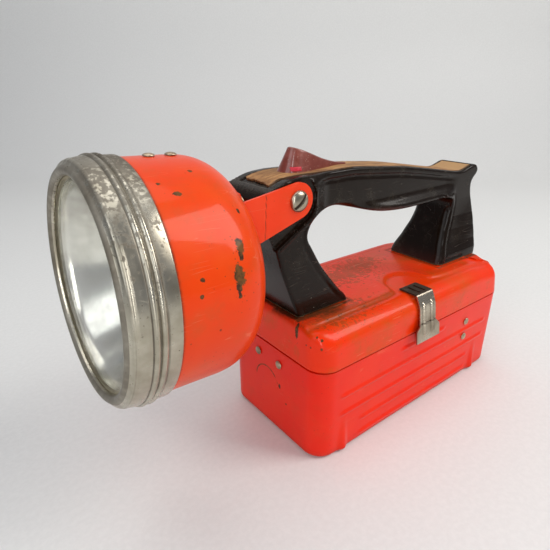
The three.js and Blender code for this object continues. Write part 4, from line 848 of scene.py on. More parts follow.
class LANTERN_OT_case(bpy.types.Operator):
    """Presses the lower case with its ribs, foot bulges and seam lip"""
    bl_idname = "lantern.case"
    bl_label = "Lower case"

    def execute(self, context):
        size = lengths(context.scene.lantern_case)
        plan = Plan(size, 1.1)
        ring, normals = plan.ring, plan.normals
        seam, wall, rounding = size.seam, size.wall, size.bottom_round
        lip, inner_round, row_gap = wall + 0.3, rounding - wall, 0.55
        rows = [ring(rounding, 0.0, share) for share in (0.0, 0.4, 0.7, 0.9)]
        floor = len(rows)
        rows += [ring(rounding * (1 - sine), rounding * (1 - cosine)) for sine, cosine in quarter(7)]
        outer = len(rows)
        rows += [ring(0.0, height) for height in np.arange(rounding + row_gap, seam - 0.3, row_gap)]
        rows += [ring(0.0, seam - 0.2), ring(0.15, seam)]
        pressed = len(rows)
        rows += [ring(lip, seam), ring(lip, seam + 2.9), ring(wall + 0.45, seam + 3.0)]
        rows += [ring(lip + 0.8, seam + 3.0), ring(lip + 0.8, seam - 4.0), ring(wall, seam - 4.2)]
        rows += [ring(rounding - inner_round * cosine, rounding - inner_round * sine) for sine, cosine in quarter(5)]
        rows += [ring(rounding, wall, share) for share in (0.8, 0.4, 0.0)]
        rows = np.array(rows)
        push = rib_bulge(rows, np.broadcast_to(normals[:, 1], rows.shape[:2]), size)
        push[:floor] = 0
        push[pressed:] = 0
        push[floor:outer] *= np.linspace(0.35, 1, outer - floor)[:, None]
        push[floor:pressed] += 0.10 * (ripple(rows[floor:pressed], 5, 55) - 1.2)
        push[pressed - 2:pressed] *= 0.3
        plan.push(rows, push)
        grime_and_shade, wear_and_reflection = np.zeros((2, *rows.shape[:2]))
        z = rows[:pressed, :, 2]
        # Darker towards the bottom, and painted shade in a line along the seam.
        grime_and_shade[:pressed] = 0.55 * np.clip(1 - z / 9, 0, 1) + 0.35 * hump(z, seam, 1.6)
        corner = hump(normals[:, 0] + normals[:, 1], 0, 0.5) * (normals[:, 0] < 0)
        wear_and_reflection[outer:pressed] = 0.24 * hump(z[outer:pressed], seam, 3) + 0.12 * corner
        wear_and_reflection[floor + 2:outer] = 0.22
        piece = weld(skin("case_pressing", rows, attributes={"grime_and_shade": grime_and_shade, "wear_and_reflection": wear_and_reflection}))
        scuffs = (
            ((-80.0, -7.5, 30.0), 1.0, (1, 1, 0.7)), ((-80.0, -13.0, 22.0), 0.7, (1, 1, 1)),
            ((-74.0, -34.5, 39.0), 0.8, (1, 1, 0.6)), ((-75.5, -33.0, 24.0), 0.6, (1, 1, 0.5)),
        )
        scored = (((-80, 3.4, 27.2), 9.6, 0.6, 27.0),)
        colours = context.scene.lantern_colours
        paint = enamel(
            "case_enamel", colours.case_red, colours.case_faded, rgb(214, 60, 26), scuffs, age=0.6, rings=scored,
        )
        fit_out(piece, "case", "case_paint", paint, "lower_case")
        return {"FINISHED"}


LATCH_LOOP = (
    (-21.6, 1.0), (-15.7, 0.93), (-11.2, 0.6), (-4.8, 0.4), (1.6, 0.35), (8.8, 0.44), (13.6, 0.7), (16.0, 0.93),
    (20.8, 1.02), (30.0, 1.07), (44.0, 1.1),
)
PLATEAU_HALF = 26.0


def plateau_edge(x, side):
    """Distance of the plateau's edge from the middle line; on the near side it loops round the latch."""
    curve = smooth_curve(LATCH_LOOP, 10)
    order = np.argsort(curve[:, 0])
    looped = np.interp(x, curve[order, 0], curve[order, 1]) * PLATEAU_HALF
    return np.where(side < 0, looped, PLATEAU_HALF)


def edge_distance(x, y):
    """Distance inwards from the plateau's edge, measured square to the loop."""
    edge = plateau_edge(x, np.sign(y))
    slope = (plateau_edge(x + 0.3, np.sign(y)) - plateau_edge(x - 0.3, np.sign(y))) / 0.6
    return (edge - np.abs(y)) / np.sqrt(1 + slope ** 2)


class LANTERN_OT_lid(bpy.types.Operator):
    """Presses the lid with its shoulders, raised middle and the loop round the latch"""
    bl_idname = "lantern.lid"
    bl_label = "Lid"

    def execute(self, context):
        size = lengths(context.scene.lantern_case)
        plan = Plan(size, 1.2)
        ring, normals = plan.ring, plan.normals
        seam, shoulder = size.seam + 0.3, size.shoulder
        step = size.plateau - shoulder
        radius = 3 + 6.5 * np.abs(normals[:, 1]) ** 1.5
        rows = [ring(0.4, seam + 0.1), ring(0.12, seam + 0.2), ring(0.0, seam + 0.5)]
        wall_rows = np.linspace(0.06, 1, 12)
        rows += [ring(0.0, seam + 0.5 + (shoulder - radius - seam - 0.5) * share) for share in wall_rows]
        rows += [ring(radius * (1 - cosine), shoulder - radius * (1 - sine)) for sine, cosine in quarter(14)[1:]]
        upright, outer, inner = len(rows), np.linspace(0.985, 0.42, 44), np.linspace(0.38, 0, 10)
        rows += [ring(radius, shoulder, share) for share in (*outer, *inner)]
        rows = np.array(rows)
        x, y, z = rows[..., 0], rows[..., 1], rows[..., 2]
        # The sides lean in towards the rear, the seam rises at the front and the top falls off at the rear.
        hold = np.concatenate([np.ones(upright), outer ** 4, np.zeros(len(inner))])[:, None]
        lean = 1.4 * ease(x, 30, 78) * np.clip((z - seam - 0.5) / 13, 0, 1) * hold
        plan.push(rows, -lean)
        lift = np.array([1, 1, 1, 0.9, 0.75, 0.55, 0.35, 0.15])[:, None]
        z[:len(lift)] += 0.45 * ease(-x[:len(lift)], 70, 79) * lift
        fall = 2.7 * ease(x, 72.0, 77.0) + 2.0 * ease(np.abs(y), 19.5, 27) * ease(x, 44, 70)
        fall = np.minimum(fall, 3.6) * ease(z, seam + 1, shoulder)
        # The plateau stands up by a step, with a ledge along its near edge and a trough outside it.
        inward = edge_distance(x, y)
        flat = ease(z, shoulder - 3.2, shoulder - 0.2)
        ledge = hump(inward, 2.6, 3.0) * 0.22 * (y < 0)
        rise = step * ease(inward, -0.7, 1.0) * flat + ledge * flat * 0.6
        rise -= 0.12 * hump(inward, -1.6, 1.5) * flat
        rise += 0.10 * (ripple(rows, 8, 45) - 1.0) * flat
        z[:] = np.minimum(z + rise, size.plateau + 0.15) - fall
        sway = 0.10 * (ripple(rows, 11, 50) - 1.2) * (1 - flat)
        sway[:4] = 0
        plan.push(rows, sway)
        wear_and_reflection, grime_and_shade = self.masks(rows, inward, flat, seam, normals)
        piece = weld(skin("lid_pressing", rows, attributes={"grime_and_shade": grime_and_shade, "wear_and_reflection": wear_and_reflection}))
        face_towards(piece, (0, 0, 1))
        thicken(piece, size.wall)
        shade(piece, 50)
        chips = (
            ((-77.6, -35.0, 64.9), 0.85, (1, 1, 0.9)), ((-76.4, -33.8, 69.0), 0.7, (1, 1, 0.8)),
            ((-77.5, -31.8, 70.3), 0.55, (1, 1, 0.8)), ((-79.9, -27.4, 64.9), 0.45, (1, 1, 1)),
            ((-79.6, -30.0, 64.8), 0.5, (1, 1, 0.8)), ((-79.8, -20.2, 69.6), 2.2, (1, 1.9, 0.5)),
        )
        stains = (
            ((-18.0, 8.0, 73.0), 13.0, (0.55, 1, 1)), ((2.0, 14.0, 73.0), 9.0, (0.6, 1, 1)),
            ((-52.0, -25.0, 72.5), 8.0, (0.4, 1, 1)),
        )
        colours = context.scene.lantern_colours
        paint = enamel("lid_enamel", colours.lid_red, colours.lid_faded, rgb(190, 84, 18), chips, stains)
        fit_out(piece, "lid", "lid_paint", paint, "lid_shell")
        return {"FINISHED"}

    def masks(self, rows, inward, flat, seam, normals):
        """Where the enamel has rubbed through, where dirt has gathered, and a painted shade line along the seam."""
        x, y, z = rows[..., 0], rows[..., 1], rows[..., 2]
        near = y < 0
        front = 1 - ease(x, -20, -8)
        wear_and_reflection = hump(inward, 0.2, 3.4) * flat * near * (0.34 + 0.42 * front * ease(x, -76, -64))
        wear_and_reflection += 0.35 * hump(inward, 0.4, 1.8) * flat * (~near)
        wear_and_reflection += 0.25 * hump(z, 70.5, 3.0) * (np.abs(normals[:, 0]) > 0.85)
        front_leg, rear_leg = (
            np.maximum(np.abs(x - middle) - half_long, np.abs(y) - half_wide)
            for middle, half_long, half_wide in ((-59, 17, 17.4), (53, 20, 19.6))
        )
        dirt_and_shade = 0.9 * hump(front_leg, 0.6, 2.2) * flat + 0.7 * hump(rear_leg, 0.6, 2.0) * flat
        dirt_and_shade += 0.35 * hump(inward, -1.4, 2.0) * flat
        dirt_and_shade += 0.42 * flat * ease(inward, 0, 4) * ease(ripple(rows, 21, 34), -0.1, 0.9)
        dirt_and_shade += 0.5 * flat * (1 - ease(x, -60, -38)) * near * ease(inward, -0.5, 2)
        # Painted shade: a dark line along the seam under the lid's edge.
        dirt_and_shade += 0.9 * hump(z, seam, 0.9) * (1 - flat)
        return np.clip(wear_and_reflection, 0, 1), np.clip(dirt_and_shade, 0, 1)


class LANTERN_OT_latch(bpy.types.Operator):
    """Bends the latch clip from strip steel, with its slots, stiffening ribs and flared tab"""
    bl_idname = "lantern.latch"
    bl_label = "Latch"

    def execute(self, context):
        low, high = in_mm(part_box("latch_clip"))
        middle, top, knee = (low[0] + high[0]) / 2, high[2] - 0.05, 57.2
        path = smooth_curve([
            (-24.3, top - 0.35), (-25.2, top), (-30.0, top), (-34.9, top - 0.05), (-36.1, top - 0.7),
            (-36.9, top - 2.2), (-38.6, top - 6.0), (-39.4, top - 9.5), (-40.1, 58.9), (-40.6, knee),
            (-41.0, 55.0), (-41.6, 51.0), (-42.15, 47.0),
        ], 10)
        span = np.concatenate([[0], np.cumsum(np.linalg.norm(np.diff(path, axis=0), axis=1))])
        stops = np.linspace(0, span[-1], 150)
        path = np.stack([np.interp(stops, span, path[:, i]) for i in (0, 1)], -1)
        height = path[:, 1]
        strap_half, tab_half = 6.85, 10.0
        half = strap_half + (tab_half - strap_half) * ease(knee - height, 0, 4.0)
        u = np.linspace(-1, 1, 57)[None, :] * half[:, None]
        slope = np.gradient(path, axis=0)
        slope /= np.linalg.norm(slope, axis=1)[:, None]
        outward = np.stack([slope[:, 1], -slope[:, 0]], -1)
        outward *= np.sign(outward[:, 1] * 0.2 - outward[:, 0])[:, None]
        strap = ease(-height, -(top - 4.0), -(top - 6.5)) * ease(height, 49.5, 52.0)
        ridge = hump(u, -3.4, 1.3) + hump(u, 3.4, 1.3)
        ribs = ridge * strap[:, None] - 0.35 * hump(height, knee, 1.0)[:, None] * (1 - ridge)
        rows = np.stack([middle + u, path[:, :1] + outward[:, :1] * ribs, path[:, 1:] + outward[:, 1:] * ribs], -1)
        # Painted shade down both sides of each stiffening rib, added to the dirt on the flat and at the bend.
        painted_rib_shade = hump(np.abs(u), 5.1, 0.8) + hump(np.abs(u), 1.9, 0.8)
        grime_and_shade = (height > top - 0.3)[:, None] + painted_rib_shade * strap[:, None] * 0.55
        grime_and_shade = grime_and_shade + 0.7 * hump(height, knee, 0.8)[:, None]
        piece = skin("latch_strap", rows, closed=False, attributes={"grime_and_shade": grime_and_shade})

        def cut_slots(work):
            """Removes the faces of the two slots in the flat on the lid."""
            gone = []
            for face in work.faces:
                spot = face.calc_center_median() / MM
                if spot.z > top - 0.6 and -34.2 < spot.y < -26.4 and 1.5 < abs(spot.x - middle) < 3.1:
                    gone.append(face)
            bmesh.ops.delete(work, geom=gone, context="FACES")

        rework(piece, cut_slots)
        face_towards(piece, (0, -1, 1))
        thicken(piece, 0.8)
        shade(piece, 45)
        finish = dulled_chrome("latch_chrome", rgb(190, 180, 162), rgb(142, 130, 112), 1.0)
        fit_out(piece, "latch", "latch_steel", finish, "latch_clip")
        return {"FINISHED"}


# Handle


LEADING_EDGE = ((0.116, 0.0), (0.087, 0.19), (0.06, 0.373), (0.043, 0.52), (0.016, 0.7), (0.0, 0.82))
NOSE = ((0.0, 0.82), (0.0, 0.862), (0.017, 0.912), (0.045, 0.94), (0.085, 0.972), (0.13, 0.984))
GRIP_TOP = (
    (0.13, 0.984), (0.2, 0.983), (0.26, 0.983), (0.32, 0.984), (0.36, 0.979), (0.442, 0.96), (0.558, 0.93),
    (0.645, 0.897), (0.762, 0.848), (0.85, 0.812), (0.89, 0.808), (0.925, 0.827), (0.95, 0.843), (0.972, 0.84),
    (0.985, 0.812),
)
TAIL = (
    (0.985, 0.812), (0.988, 0.782), (0.981, 0.75), (0.966, 0.715), (0.958, 0.67), (0.963, 0.6), (0.977, 0.5),
    (0.988, 0.38), (0.99, 0.24), (0.989, 0.12), (0.98, 0.0),
)
REAR_FRONT = (
    (0.752, 0.0), (0.772, 0.085), (0.795, 0.205), (0.823, 0.354), (0.836, 0.48), (0.833, 0.56), (0.812, 0.592),
    (0.785, 0.6), (0.692, 0.597), (0.553, 0.597), (0.446, 0.622), (0.345, 0.687), (0.273, 0.732), (0.222, 0.722),
    (0.181, 0.708), (0.157, 0.675), (0.144, 0.615), (0.146, 0.56), (0.16, 0.5), (0.191, 0.37), (0.227, 0.25),
    (0.272, 0.12), (0.302, 0.052), (0.314, 0.0),
)
REAR_FLARE = ((0.0, 1.0), (0.07, 0.94), (0.16, 0.81), (0.28, 0.7), (0.4, 0.64), (0.55, 0.62), (1.1, 0.632))
HANDLE_FRONT = -96.0
HANDLE_SEAT = 73.3
PIVOT = (-77.0, 129.8)


class HandleForm:
    """The moulding's shape as a field of signed distance in millimetres."""

    def __init__(self, size):
        self.size = size
        self.tables = {}
        sole = -0.05
        self.outline = np.array([
            self.spot((0.118, sole)), *self.curve(LEADING_EDGE), *self.curve(NOSE), *self.curve(GRIP_TOP),
            *self.curve(TAIL), self.spot((0.978, sole)), self.spot((0.748, sole)), *self.curve(REAR_FRONT),
            self.spot((0.328, sole)),
        ])
        top = self.curve(NOSE[2:-1] + GRIP_TOP, 8)
        self.top = top[np.argsort(top[:, 0])]
        x, z = PIVOT
        arc = [(x + 11 * math.cos(t), z + 11 * math.sin(t)) for t in np.linspace(math.pi / 2, -math.pi * 0.36, 24)]
        self.pocket = np.array([(x - 60, z + 30), (x, z + 30), *arc, (x - 14.2, z - 21.2), (x - 60, z - 21.2)])

    def spot(self, share):
        return (HANDLE_FRONT + share[0] * self.size.long_side, HANDLE_SEAT + share[1] * self.size.rise)

    def curve(self, shares, steps=7):
        return smooth_curve([self.spot(share) for share in shares], steps)

    def top_at(self, x):
        return np.interp(x, self.top[:, 0], self.top[:, 1])

    def along(self, x):
        return (x - HANDLE_FRONT) / self.size.long_side

    def half_width(self, x, z, d):
        """Half width of the moulding at a point of its side view; d is the distance to the outline."""
        size, along, up = self.size, self.along(x), (z - HANDLE_SEAT) / self.size.rise
        depth = self.top_at(x) - z
        crown = HANDLE_SEAT + size.rise - 8.5
        nose = size.leg_half - 3.4 * np.clip((z - crown) / 8.5, 0, 1) ** 2
        rim = size.grip_half + 0.8 * (1 - ease(depth, 2.6, 3.6)) - 0.35 * hump(depth, 4.4, 1.6)
        neck = ease(along, 0.15, 0.25) * ease(up, 0.55, 0.72)
        width = nose + (rim - nose) * neck
        heel = 0.085 * hump(up, 0.25, 0.32) * ease(along, 0.85, 0.97)
        foot = (np.interp(up, *np.transpose(REAR_FLARE)) + heel) * size.rear_half
        rear = ease(along, 0.79, 0.87) + (along > 0.6) * (up < 0.5)
        width = width + (foot - width) * np.clip(rear, 0, 1)
        legs = np.clip(1 - neck, 0, 1) * (along < 0.4) + (along > 0.74) * (up < 0.62)
        # A bead and a groove inside it run along the edges of the opening under the grip.
        inside = -d
        opening = ((along > 0.13) & (along < 0.4)) | ((along > 0.7) & (along < 0.9))
        bead = (0.45 * hump(inside, 1.6, 1.7) - 0.25 * hump(inside, 3.8, 0.9)) * opening * (along < 0.5)
        bead = bead + (0.7 * hump(inside, 2.6, 2.8) - 0.3 * hump(inside, 5.6, 1.0)) * opening * (along > 0.5)
        return np.minimum(width + bead * np.clip(legs, 0, 1) * (up < 0.66), size.rear_half - 0.05)

    def __call__(self, points):
        x, y, z = points.T
        side, pocket = self.distance(self.outline, x, z), self.distance(self.pocket, x, z)
        along, depth = self.along(x), self.top_at(x) - z
        width = self.half_width(x, z, side)
        grip = ease(along, 0.24, 0.34) * (1 - ease(along, 0.76, 0.82))
        under = (along > 0.74) * (along < 0.9)
        radius = 1.3 + 2.6 * grip * ease(depth, 8, 16)
        radius = radius + 2.8 * under * ease(depth, 19, 24) * np.clip((z - HANDLE_SEAT) / 22, 0, 1)
        body = rounded_and(side, np.abs(y) - width, radius)
        body = np.maximum(np.maximum(body, HANDLE_SEAT - z), HANDLE_FRONT + 0.02 - x)
        # A lip round the arm pockets, the pockets themselves, and the bed of the card strip.
        lip = np.maximum(np.abs(pocket - 0.9) - 0.55, np.abs(y) - width - 0.35)
        lip = np.maximum(np.maximum(lip, side + 1.0), 12.0 - np.abs(y))
        body = np.where(z < PIVOT[1] - 4, np.minimum(body, lip), body)
        body = np.maximum(body, -rounded_and(pocket, self.size.pocket_half - np.abs(y), 0.4))
        bed = np.maximum(np.maximum(np.abs(y) - 10.5, -depth - 4), depth - 0.7)
        bed = np.maximum(bed, np.maximum(-89.2 - x, x - (HANDLE_FRONT + 0.955 * self.size.long_side)))
        return np.maximum(body, -bed)

    def distance(self, outline, x, z):
        """Reads the distance to an outline from a fine table, worked out once."""
        cell, margin = 0.2, 6
        low = np.array([HANDLE_FRONT - margin, HANDLE_SEAT - margin])
        if id(outline) not in self.tables:
            count = [int((reach + 2 * margin) / cell) + 2 for reach in (self.size.long_side, self.size.rise)]
            grid = np.stack(np.meshgrid(*(low[i] + cell * np.arange(count[i]) for i in (0, 1)), indexing="ij"), -1)
            self.tables[id(outline)] = polygon_distance(grid.reshape(-1, 2), outline).reshape(count)
        table = self.tables[id(outline)]
        u = np.clip((x - low[0]) / cell, 0, table.shape[0] - 1.001)
        v = np.clip((z - low[1]) / cell, 0, table.shape[1] - 1.001)
        i, j = u.astype(int), v.astype(int)
        fu, fv = u - i, v - j
        return (
            table[i, j] * (1 - fu) * (1 - fv) + table[i + 1, j] * fu * (1 - fv)
            + table[i, j + 1] * (1 - fu) * fv + table[i + 1, j + 1] * fu * fv
        )


class LANTERN_OT_handle(bpy.types.Operator):
    """Moulds the handle: nose with arm pockets, grip with its rim and belly, and flared rear leg"""
    bl_idname = "lantern.handle"
    bl_label = "Handle"

    def execute(self, context):
        size = lengths(context.scene.lantern_handle)
        form = HandleForm(size)
        low = np.array([HANDLE_FRONT, -size.rear_half, HANDLE_SEAT])
        high = np.array([HANDLE_FRONT + size.long_side, size.rear_half, HANDLE_SEAT + size.rise])
        piece = moulded("handle_moulding_shell", form, low, high, size.cell * (1))
        x, _, z = corners_of(piece).T
        depth, along = form.top_at(x) - z, form.along(x)
        # Painted reflection of the red lid on the belly under the grip, in the layer the moulding's finish reads.
        wear_and_reflection = ease(depth, 19, 23) * ease(along, 0.3, 0.36) * (1 - ease(along, 0.72, 0.8)) * 0.8
        nose = (1 - ease(along, 0.03, 0.12)) * ease(z, 128, 136)
        add_layer(piece.data, "wear_and_reflection", wear_and_reflection)
        add_layer(piece.data, "grime_and_shade", np.maximum(0.8 * hump(z, HANDLE_SEAT, 1.5), 0.3 * nose))
        finish = black_moulding("handle_black", context.scene.lantern_colours.black, rgb(74, 30, 22))
        fit_out(piece, "lid", "handle_plastic", finish, "handle_moulding")
        return {"FINISHED"}


class LANTERN_OT_strip(bpy.types.Operator):
    """Lays the card strip along the grip, with its torn front end and cleaner rear end"""
    bl_idname = "lantern.strip"
    bl_label = "Card strip"

    def execute(self, context):
        size = lengths(context.scene.lantern_handle)
        form = HandleForm(size)
        thick = 0.8
        across = np.linspace(-1, 1, 49)
        rear = HANDLE_FRONT + 0.945 * size.long_side
        random = np.random.default_rng(4)
        coarse = np.interp(
            across, (-1, -0.8, -0.5, -0.1, 0.3, 0.7, 1), (-88.2, -87.5, -86.8, -87.0, -86.3, -86.7, -86.2)
        )
        start = coarse + np.interp(across, np.linspace(-1, 1, 33), random.uniform(-0.4, 0.4, 33))
        share = np.linspace(0, 1, 260)[:, None]
        x = start + (rear - start) * share
        nibble = 0.25 * np.interp(x, np.linspace(-90, 70, 161), random.uniform(-2, 0, 161))
        nibble = nibble - 1.5 * hump(x, -82, 3.6) * (across < 0)
        y = across * (size.strip_half + nibble * ease(np.abs(across), 0.7, 0.9))
        curl = 0.35 * np.exp(-share * 60) * (1 + np.cos(across * 5.0)) * 0.5
        z = form.top_at(x) - 0.7 + 0.06 + thick + curl
        grime_and_shade = np.maximum(0.7 * hump(np.abs(across), 1, 0.16) * np.ones_like(x), 0.5 * np.exp(-share * 90))
        piece = skin("card_strip", np.stack([x, y, z], -1), False, {"grime_and_shade": grime_and_shade, "clean": ease(x, 53.5, 55.5)})
        face_towards(piece, (0, 0, 1))
        thicken(piece, thick)
        shade(piece, 50)
        card = fibre_card("strip_card", context.scene.lantern_colours.card, rgb(132, 88, 46), rgb(178, 138, 92))
        fit_out(piece, "lid", "strip_card", card, "handle_strip")
        return {"FINISHED"}


KNOB_FRONT = -74.5
KNOB_BACK = ((0.14, 1.0), (0.25, 0.87), (0.4, 0.66), (0.56, 0.44), (0.78, 0.22), (1.0, 0.1))


class KnobForm:
    """The thumb switch: a teardrop that leans back and slopes down to its tail."""

    def __init__(self, size, level):
        self.long_side, self.half, self.rise = size.knob_long, size.knob_half, size.knob_rise
        self.level = level
        shares = smooth_curve(KNOB_BACK, 8)
        self.back = (KNOB_FRONT + shares[:, 0] * self.long_side, level + shares[:, 1] * self.rise)
        turns = np.linspace(math.pi / 2, math.pi * 1.5, 32)
        nose = [(KNOB_FRONT + self.half + self.half * math.cos(t), self.half * math.sin(t)) for t in turns]
        stops = np.array([
            (KNOB_FRONT + self.half, -self.half), (KNOB_FRONT + 2 * self.half, -self.half),
            (KNOB_FRONT + self.long_side * 0.667, -self.half / 2.6), (KNOB_FRONT + self.long_side, -0.3),
        ])
        tail = []
        for t in np.linspace(0, 1, 24)[1:]:
            weights = ((1 - t) ** 3, 3 * t * (1 - t) ** 2, 3 * t * t * (1 - t), t ** 3)
            tail.append(tuple(np.array(weights) @ stops))
        self.plan = np.array([*nose, *tail, *[(x, -y) for x, y in reversed(tail)]])

    def __call__(self, points):
        x, y, z = points.T
        up, lean = np.clip((z - self.level) / self.rise, 0, 1.2), 5.6
        back = 1 - (x - KNOB_FRONT) / self.long_side
        upright = x - up * back * lean / (1 - up * lean / self.long_side)
        width = 1 - up * 0.45
        plan = polygon_distance(np.stack([upright, y / width], -1), self.plan) * width
        top = z - np.interp(x, *self.back)
        return np.maximum(rounded_and(plan, top * 0.93, 0.7), self.level - z)


class LANTERN_OT_switch(bpy.types.Operator):
    """Moulds the thumb switch and sets its red mark"""
    bl_idname = "lantern.switch"
    bl_label = "Thumb switch"

    def execute(self, context):
        size = lengths(context.scene.lantern_handle)
        low, high = in_mm(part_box("switch_mark"))
        level = low[2] - 1.3
        form = KnobForm(size, level)
        body = moulded(
            "switch_body", form, np.array([KNOB_FRONT, -form.half, level]),
            np.array([KNOB_FRONT + form.long_side, form.half, level + form.rise]), 0.35,
        )
        stem_x = KNOB_FRONT + form.long_side / 3 - 4
        stem = self.block("switch_stem", (stem_x, -1.8, level - 8.2), (stem_x + 8, 1.8, level + 1.0))
        knob = join("thumb_switch", [body, stem])
        shade(knob, 50)
        finish = knob_plastic("switch_plastic", context.scene.lantern_colours.knob, rgb(138, 70, 58))
        fit_out(knob, "switch", "knob_plastic", finish, "switch_knob")
        self.mark(form, low, high)
        return {"FINISHED"}

    def block(self, name, low, high):
        """A box with its edges broken."""
        corners = [(x, y, z) for x in (low[0], high[0]) for y in (low[1], high[1]) for z in (low[2], high[2])]
        faces = [(0, 1, 3, 2), (4, 6, 7, 5), (0, 4, 5, 1), (2, 3, 7, 6), (0, 2, 6, 4), (1, 5, 7, 3)]
        piece = new_piece(name, corners, faces)
        rework(piece, lambda work: bmesh.ops.bevel(
            work, geom=list(work.edges), offset=0.25 * MM, segments=2, affect="EDGES",
        ))
        return piece

    def mark(self, form, low, high):
        """A small raised tablet that follows the near side of the switch."""
        depths = np.linspace(-form.half - 1, 0, 60)
        rows = []
        for b in np.linspace(-1, 1, 13):
            row = []
            for a in np.linspace(-1, 1, 25):
                x = low[0] + (high[0] - low[0]) * (a + 1) / 2
                z = low[2] + (high[2] - low[2]) * (b + 1) / 2
                values = form(np.stack([np.full(60, x), depths, np.full(60, z)], -1))
                inside = np.argmax(values < 0)
                ratio = values[inside - 1] / (values[inside - 1] - values[inside]) if inside else 0
                surface = depths[inside - 1] + (depths[1] - depths[0]) * ratio
                row.append((x, surface - 0.35 * (1 - max(abs(a) ** 8, abs(b) ** 6)) + 0.1, z))
            rows.append(row)
        piece = skin("switch_tablet", np.array(rows), closed=False)
        face_towards(piece, (0, -1, 0))
        thicken(piece, 0.55)
        shade(piece, 60)
        finish = soft_matt("mark_red", rgb(196, 24, 48), rgb(214, 52, 70), 0.4, 900.0)
        fit_out(piece, "switch", "mark_red", finish, "switch_mark")


# Lamp head: its own frame sits on the tilt pivot, beam towards -X


BOWL_POWER = 2.56  # the bowl closes along a superellipse of this power
ROUNDNESS = 2 / BOWL_POWER


class HeadFrame:
    """Turns places in the head's own frame into places on the object."""

    def __init__(self, group):
        self.size, self.tilt = lengths(group), group.tilt
        self.pivot = np.array([PIVOT[0], 0, PIVOT[1]])
        self.lens_x, self.axis_z = -self.size.reach, -self.size.drop

    def placed(self, points):
        points = np.asarray(points, float)
        cosine, sine = math.cos(self.tilt), math.sin(self.tilt)
        x = points[..., 0] * cosine + points[..., 2] * sine
        z = -points[..., 0] * sine + points[..., 2] * cosine
        return np.stack([x, points[..., 1], z], -1) + self.pivot

    def spot(self, *point):
        """One place, as plain numbers."""
        return tuple(float(value) for value in self.placed(point))

    def turned(self, name, profile, steps, attributes=None, wave=None):
        """A closed shell turned about the beam's line from (back, radius) points in millimetres."""
        profile = np.asarray(profile, float)
        turns = np.linspace(0, 2 * math.pi, steps, endpoint=False)
        back = np.repeat(profile[:, :1], steps, 1)
        radius = np.repeat(profile[:, 1:2], steps, 1)
        if wave is not None:
            radius = radius + wave(back, np.broadcast_to(turns, back.shape))
        rows = np.stack([self.lens_x + back, radius * np.cos(turns), self.axis_z + radius * np.sin(turns)], -1)
        masks = {
            label: np.repeat(np.asarray(values)[:, None], steps, 1) for label, values in (attributes or {}).items()
        }
        return weld(skin(name, self.placed(rows), attributes=masks))

    def closing(self, share):
        """How far the bowl's end reaches at a share of its radius, or the other way round."""
        return (1 - np.clip(share, 0, 1) ** BOWL_POWER) ** (1 / BOWL_POWER)

    def bowl_back(self, radius, offset=0.0):
        """How far behind the lens face the bowl's outside lies at a distance from the beam's line."""
        size = self.size
        return size.bowl_straight + (size.bowl_depth + offset) * self.closing(radius / (size.bowl_radius + offset))


class LANTERN_OT_bowl(bpy.types.Operator):
    """Spins the enamelled bowl"""
    bl_idname = "lantern.bowl"
    bl_label = "Bowl"

    def execute(self, context):
        head = HeadFrame(context.scene.lantern_head)
        radius, straight, depth = head.size.bowl_radius, head.size.bowl_straight, head.size.bowl_depth
        wall, start, hole = 1.0, 6.9, 3.7

        def curve(offset):
            return [
                (straight + (depth + offset) * math.sin(t) ** ROUNDNESS, (radius + offset) * math.cos(t) ** ROUNDNESS)
                for t in np.linspace(0, math.pi / 2 * 0.985, 46)
            ]

        outside = [(start, radius)] + [(x, radius) for x in np.linspace(start + 1, straight - 1, 26)]
        outside += [point for point in curve(0) if point[1] > hole] + [(straight + depth, hole)]
        inside = [(straight + depth - wall, hole)] + [point for point in reversed(curve(-wall)) if point[1] > hole]
        inside += [(start, radius - wall)]
        profile = np.array([*outside, *inside, outside[0]])
        back = np.array([point[0] for point in outside])
        plain = np.zeros(len(inside) + 1)
        # Darker in a ring just behind the bezel's rear edge.
        masks = {
            "grime_and_shade": np.concatenate([0.9 * hump(back, 17.0, 1.6), plain]),
            "wear_and_reflection": np.concatenate([0.16 * ease(back, 40, 58), plain]),
        }
        dent = lambda back, turn: -0.12 * hump(back, 30, 20) * hump(turn, 3.9, 0.5)
        piece = head.turned("bowl_spinning", profile, 200, masks, dent)
        colours = context.scene.lantern_colours
        paint = enamel("bowl_enamel", colours.bowl_orange, colours.bowl_faded, rgb(206, 78, 28), self.chips(head))
        fit_out(piece, "head", "bowl_paint", paint, "bowl")
        return {"FINISHED"}

    def chips(self, head):
        """Places of the larger chips, by distance back and turn from straight out to the near side."""
        spots = (
            (41.2, 27.0, 1.7, (1, 1, 0.5)), (40.7, 22.6, 1.1, (1, 1, 0.6)), (38.9, 14.4, 2.2, (1, 1, 0.5)),
            (38.2, 9.4, 1.2, (1, 1, 0.6)), (38.4, 6.0, 0.8, (1, 1, 0.6)), (45.4, 42.6, 0.8, (1, 1, 0.7)),
            (25.9, 53.9, 1.0, (0.6, 1, 1)), (21.5, 60.5, 0.7, (1, 1, 1)), (35.7, 67.7, 0.8, (1, 1, 1)),
            (25.3, 16.1, 0.9, (1, 1, 1)), (24.1, 9.5, 0.7, (1, 1, 1)),
        )
        chips = []
        for back, turn, width, shape in spots:
            out = head.size.bowl_radius * head.closing((back - head.size.bowl_straight) / head.size.bowl_depth)
            angle = math.radians(turn)
            place = head.spot(head.lens_x + back, -out * math.cos(angle), head.axis_z + out * math.sin(angle))
            chips.append((place, width, shape))
        return chips


